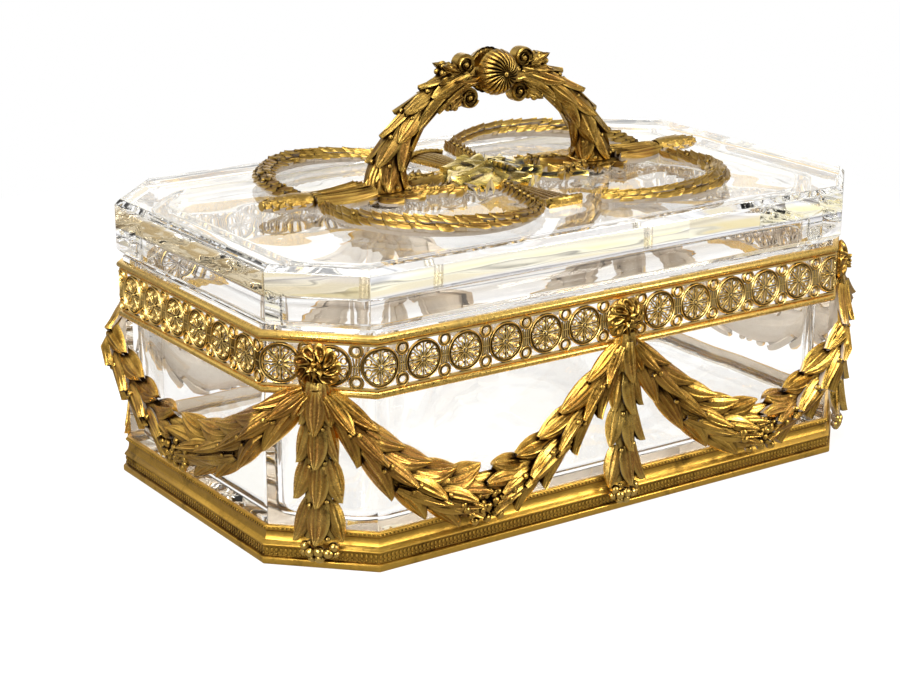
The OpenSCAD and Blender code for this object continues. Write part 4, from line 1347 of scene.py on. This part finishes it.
# %% Middle cluster
OAK_RINGS = [(7, 22.5, 2.2, 10.0, 3.4), (5, 17.0, 4.0, 8.2, 3.0), (3, 11.5, 5.8, 6.0, 2.6)]
bm = new_sheet()
bmesh.ops.create_cone(bm, cap_ends=True, segments=24, radius1=10.5, radius2=4, depth=4.4,
                      matrix=Matrix.Translation((0, 0, lid_top + 2.2)))
rng = random.Random(3)
for count, reach, rise, half, lift in OAK_RINGS:
    for a in angles(count, 0.5 * (count % 2)):
        a += rng.uniform(-0.15, 0.15)
        far = reach * rng.uniform(0.86, 1.0)
        lean = rng.uniform(-0.55, 0.55)
        lay_leaf(bm, oak, around(1.2, a, lid_top + rise + 0.6),
                 around(far, a, lid_top + rise * rng.uniform(0.3, 0.9)),
                 around(0.25, a, 1) + around(lean, a + math.pi / 2), half, lift)
lay_berry(bm, (0, 0, lid_top + 6.8), 2.0)
for x, y in ((34.0, -17.0), (-34.0, 17.0), (-17.0, -16.0), (17.0, 16.0)):
    lay_leaf(bm, oak, (0.42 * x, 0.42 * y, lid_top + 1.6), (x, y, lid_top + 1.2), UP, 4.4, 1.6)
# Painted shade darkens the +X side of the cluster.
mount("lid_middle_leaves", bm, gilt_shaded_side, "lid_center_leaves")


# %% [markdown]
# ## Handle
# The handle is an arch of leaves. From each foot they climb to the crown in tiers, tips turned down, over
# a solid core. At the crown two leaves curl into volutes, one over the other, beside a rosette on either
# face.

# %% Handle
FOOT_Z, ARCH_RX, ARCH_RISE = lid_top + PAD_T, 48.8, 40.0
CROWN_Z = FOOT_Z + ARCH_RISE
ROWS = [(21, 0.5, 4.5), (36, 12, 4.1), (50, 25, 3.8), (63, 38, 3.6), (76, 52, 3.4)]
LEAVES_ROUND, VOLUTE_DEPTH = 5, 3.2
VOLUTES = [(13.4, 3.9, 4.8), (11.6, -8.8, 4.6)]
CROWN_LEAVES = [((6, -2.0), (19.5, -2.2), 2.7, 1.6), ((16, -1.5), (26.5, -2.0), 3.2, 1.4),
                ((15, -4.5), (24.5, -9.5), 2.8, 1.3), ((16.5, 1.5), (24.5, 4.6), 2.6, 1.3),
                ((15, -8), (21.5, -12.4), 2.4, 1.2)]
CROWN_BERRIES = [(21.0, 3.4, 1.6), (23.6, 1.8, 1.3), (18.5, -11.6, 1.5), (21.6, -11.6, 1.3)]


def arch_spot(a, off=0.0, y=0.0):
    """A point at a degrees round the arch from +X, so far outwards and so far back."""
    c, s = math.cos(math.radians(a)), math.sin(math.radians(a))
    out = Vector((ARCH_RISE * c, ARCH_RX * s)).normalized()
    return Vector((ARCH_RX * c + off * out.x, y, FOOT_Z + ARCH_RISE * s + off * out.y))


def arch_half(a):
    """Half thickness of an arm in the plane of the arch, widest at the foot."""
    c, s2 = math.cos(math.radians(a)), math.sin(math.radians(2 * a))
    return 3.5 + 3.6 * abs(c) ** 14 + 0.9 * s2 * s2


def arch_depth(a):
    """Half thickness of an arm from front to back."""
    return 3.0 + 1.9 * abs(math.cos(math.radians(a))) ** 6


def arch_round(a, phi, grow, ahead=0.0):
    """A point at the angle phi round the arm, grow times as far out as its surface."""
    return arch_spot(a + ahead, grow * math.cos(phi) * arch_half(a), grow * math.sin(phi) * arch_depth(a))


def foot_bell(bm, flip):
    """The fluted sheath that an arm of the handle grows out of."""
    rows = []
    for t in shares(8):
        swell = 1.12 - 0.34 * t ** 1.5
        rows.append([flip @ arch_round(0.6 + 21 * t, phi, swell * (1 + 0.07 * abs(math.cos(6 * phi))))
                     for phi in angles(72)])
    skin(bm, rows, closed=True, capped=True)


def arm_leaves(bm, flip, rng):
    """Tiers of leaves up one arm, with berries between their tips."""
    for k, (a0, a1, half) in enumerate(ROWS):
        radial = arch_spot(a0, 1) - arch_spot(a0)
        for phi in angles(LEAVES_ROUND, 0.5 * (k % 2)):
            c, d = math.cos(phi), math.sin(phi)
            off, y = c * (arch_half(a1) + 0.7), d * (1.05 * arch_depth(a1) + 0.5)
            tip = arch_spot(a1 + rng.uniform(-1.0, 1.0), off, y)
            lay_leaf(bm, laurel, flip @ arch_round(a0, phi, 0.75), flip @ tip,
                     flip @ (radial * c + Vector((0, d, 0))), half, 1.5)
        for phi in angles(LEAVES_ROUND, 0.5 - 0.5 * (k % 2)):
            lay_berry(bm, flip @ arch_round(a1, phi, 1.1, ahead=2), 1.0)


def volute(bm, x, z, r, way):
    """A leaf rolled into a spiral round an eye, facing along Y, with a thinner web behind the spiral."""
    path = []
    for f in shares(36):
        a, rr = way * (0.3 + 3.1 * math.pi * f), (r - 0.75) * (1.0 - 0.72 * f)
        path.append(Vector((x + rr * math.cos(a), 0, z + rr * math.sin(a))))
    rod(bm, path, lambda t: (0.66 - 0.16 * t, VOLUTE_DEPTH * (1 - 0.10 * t)), (0, 1, 0), 12)
    lay = Matrix.Translation((x, 0, z)) @ Matrix.Rotation(math.pi / 2, 4, "X")
    bmesh.ops.create_cone(bm, cap_ends=True, segments=20, radius1=0.86 * r, radius2=0.86 * r,
                          depth=1.2 * VOLUTE_DEPTH, matrix=lay)
    for y in (-1, 1):
        lay_berry(bm, (x, y * VOLUTE_DEPTH * 0.74, z), r * 0.23)


bm = new_sheet()
rod(bm, [arch_spot(2 + 176 * s) for s in shares(48)],
    lambda f: (arch_depth(180 * f) * 0.8, arch_half(180 * f) * 0.8), UP, 12)
rng = random.Random(11)
for way in (1, -1):
    flip = Matrix.Diagonal((way, 1, 1))
    foot_bell(bm, flip)
    arm_leaves(bm, flip, rng)
    for x, dz, r in VOLUTES:
        volute(bm, way * x, CROWN_Z + dz, r, way)
    for y in (-1, 1):
        for a, b, half, rise in CROWN_LEAVES:
            lay_leaf(bm, acanthus, (way * a[0], y * 1.9, CROWN_Z + a[1]),
                     (way * b[0], y * 2.6, CROWN_Z + b[1]), (0, y, 0.2), half, rise)
        for x, dz, r in CROWN_BERRIES:
            lay_berry(bm, (way * x, y * 2.0, CROWN_Z + dz), r)
for v in bm.verts:
    v.co.z = max(v.co.z, FOOT_Z)
piece("handle_leaves", bm, gilt_handle, "lid", "handle_arch")

# %% [markdown]
# The rosettes on the crown are fuller than those on the wall, with twenty-two narrow swirling ribs and a
# berry in the middle. The same pinwheel makes them, with another hollow between its ribs.

# %% Crown rosettes
CROWN_BACK = arch_depth(90) * math.cos(math.radians(30)) + 0.3


def gadroon(f, phase):
    """Plain swirling ribs with a groove between them."""
    return 0.46 * (1 - math.sin(math.pi * phase) ** 0.42) * min(1, 4 * f) * (1 - 0.7 * f ** 3)


bm = pinwheel(9.6, 6.9, 22, 1.9, gadroon, 18, 8, (0.96, 3.4), 0.06)
lay_berry(bm, (0, 0, 6.2), 1.2)
crown = shape("crown_rosette", bm)
for sy, name in ((-1, "front"), (1, "back")):
    bm = new_sheet()
    stamp(bm, crown, stand((0, sy * CROWN_BACK, CROWN_Z), UP, (0, sy, 0)))
    piece("crown_rosette_" + name, bm, gilt_smooth, "lid", "handle_rosette_" + name)

# %% [markdown]
# ## Fixings
# The studs, washers and nuts keep the frame's own shapes: they are plain turned parts, seen only through
# glass.

# %% Fixings
for name in ("handle_studs", "handle_washers", "handle_nuts"):
    nodes[name].data.materials.clear()
    nodes[name].data.materials.append(brass_turned)
print("fixings dressed in turned brass")

bpy.context.scene.view_settings.view_transform = "Standard"
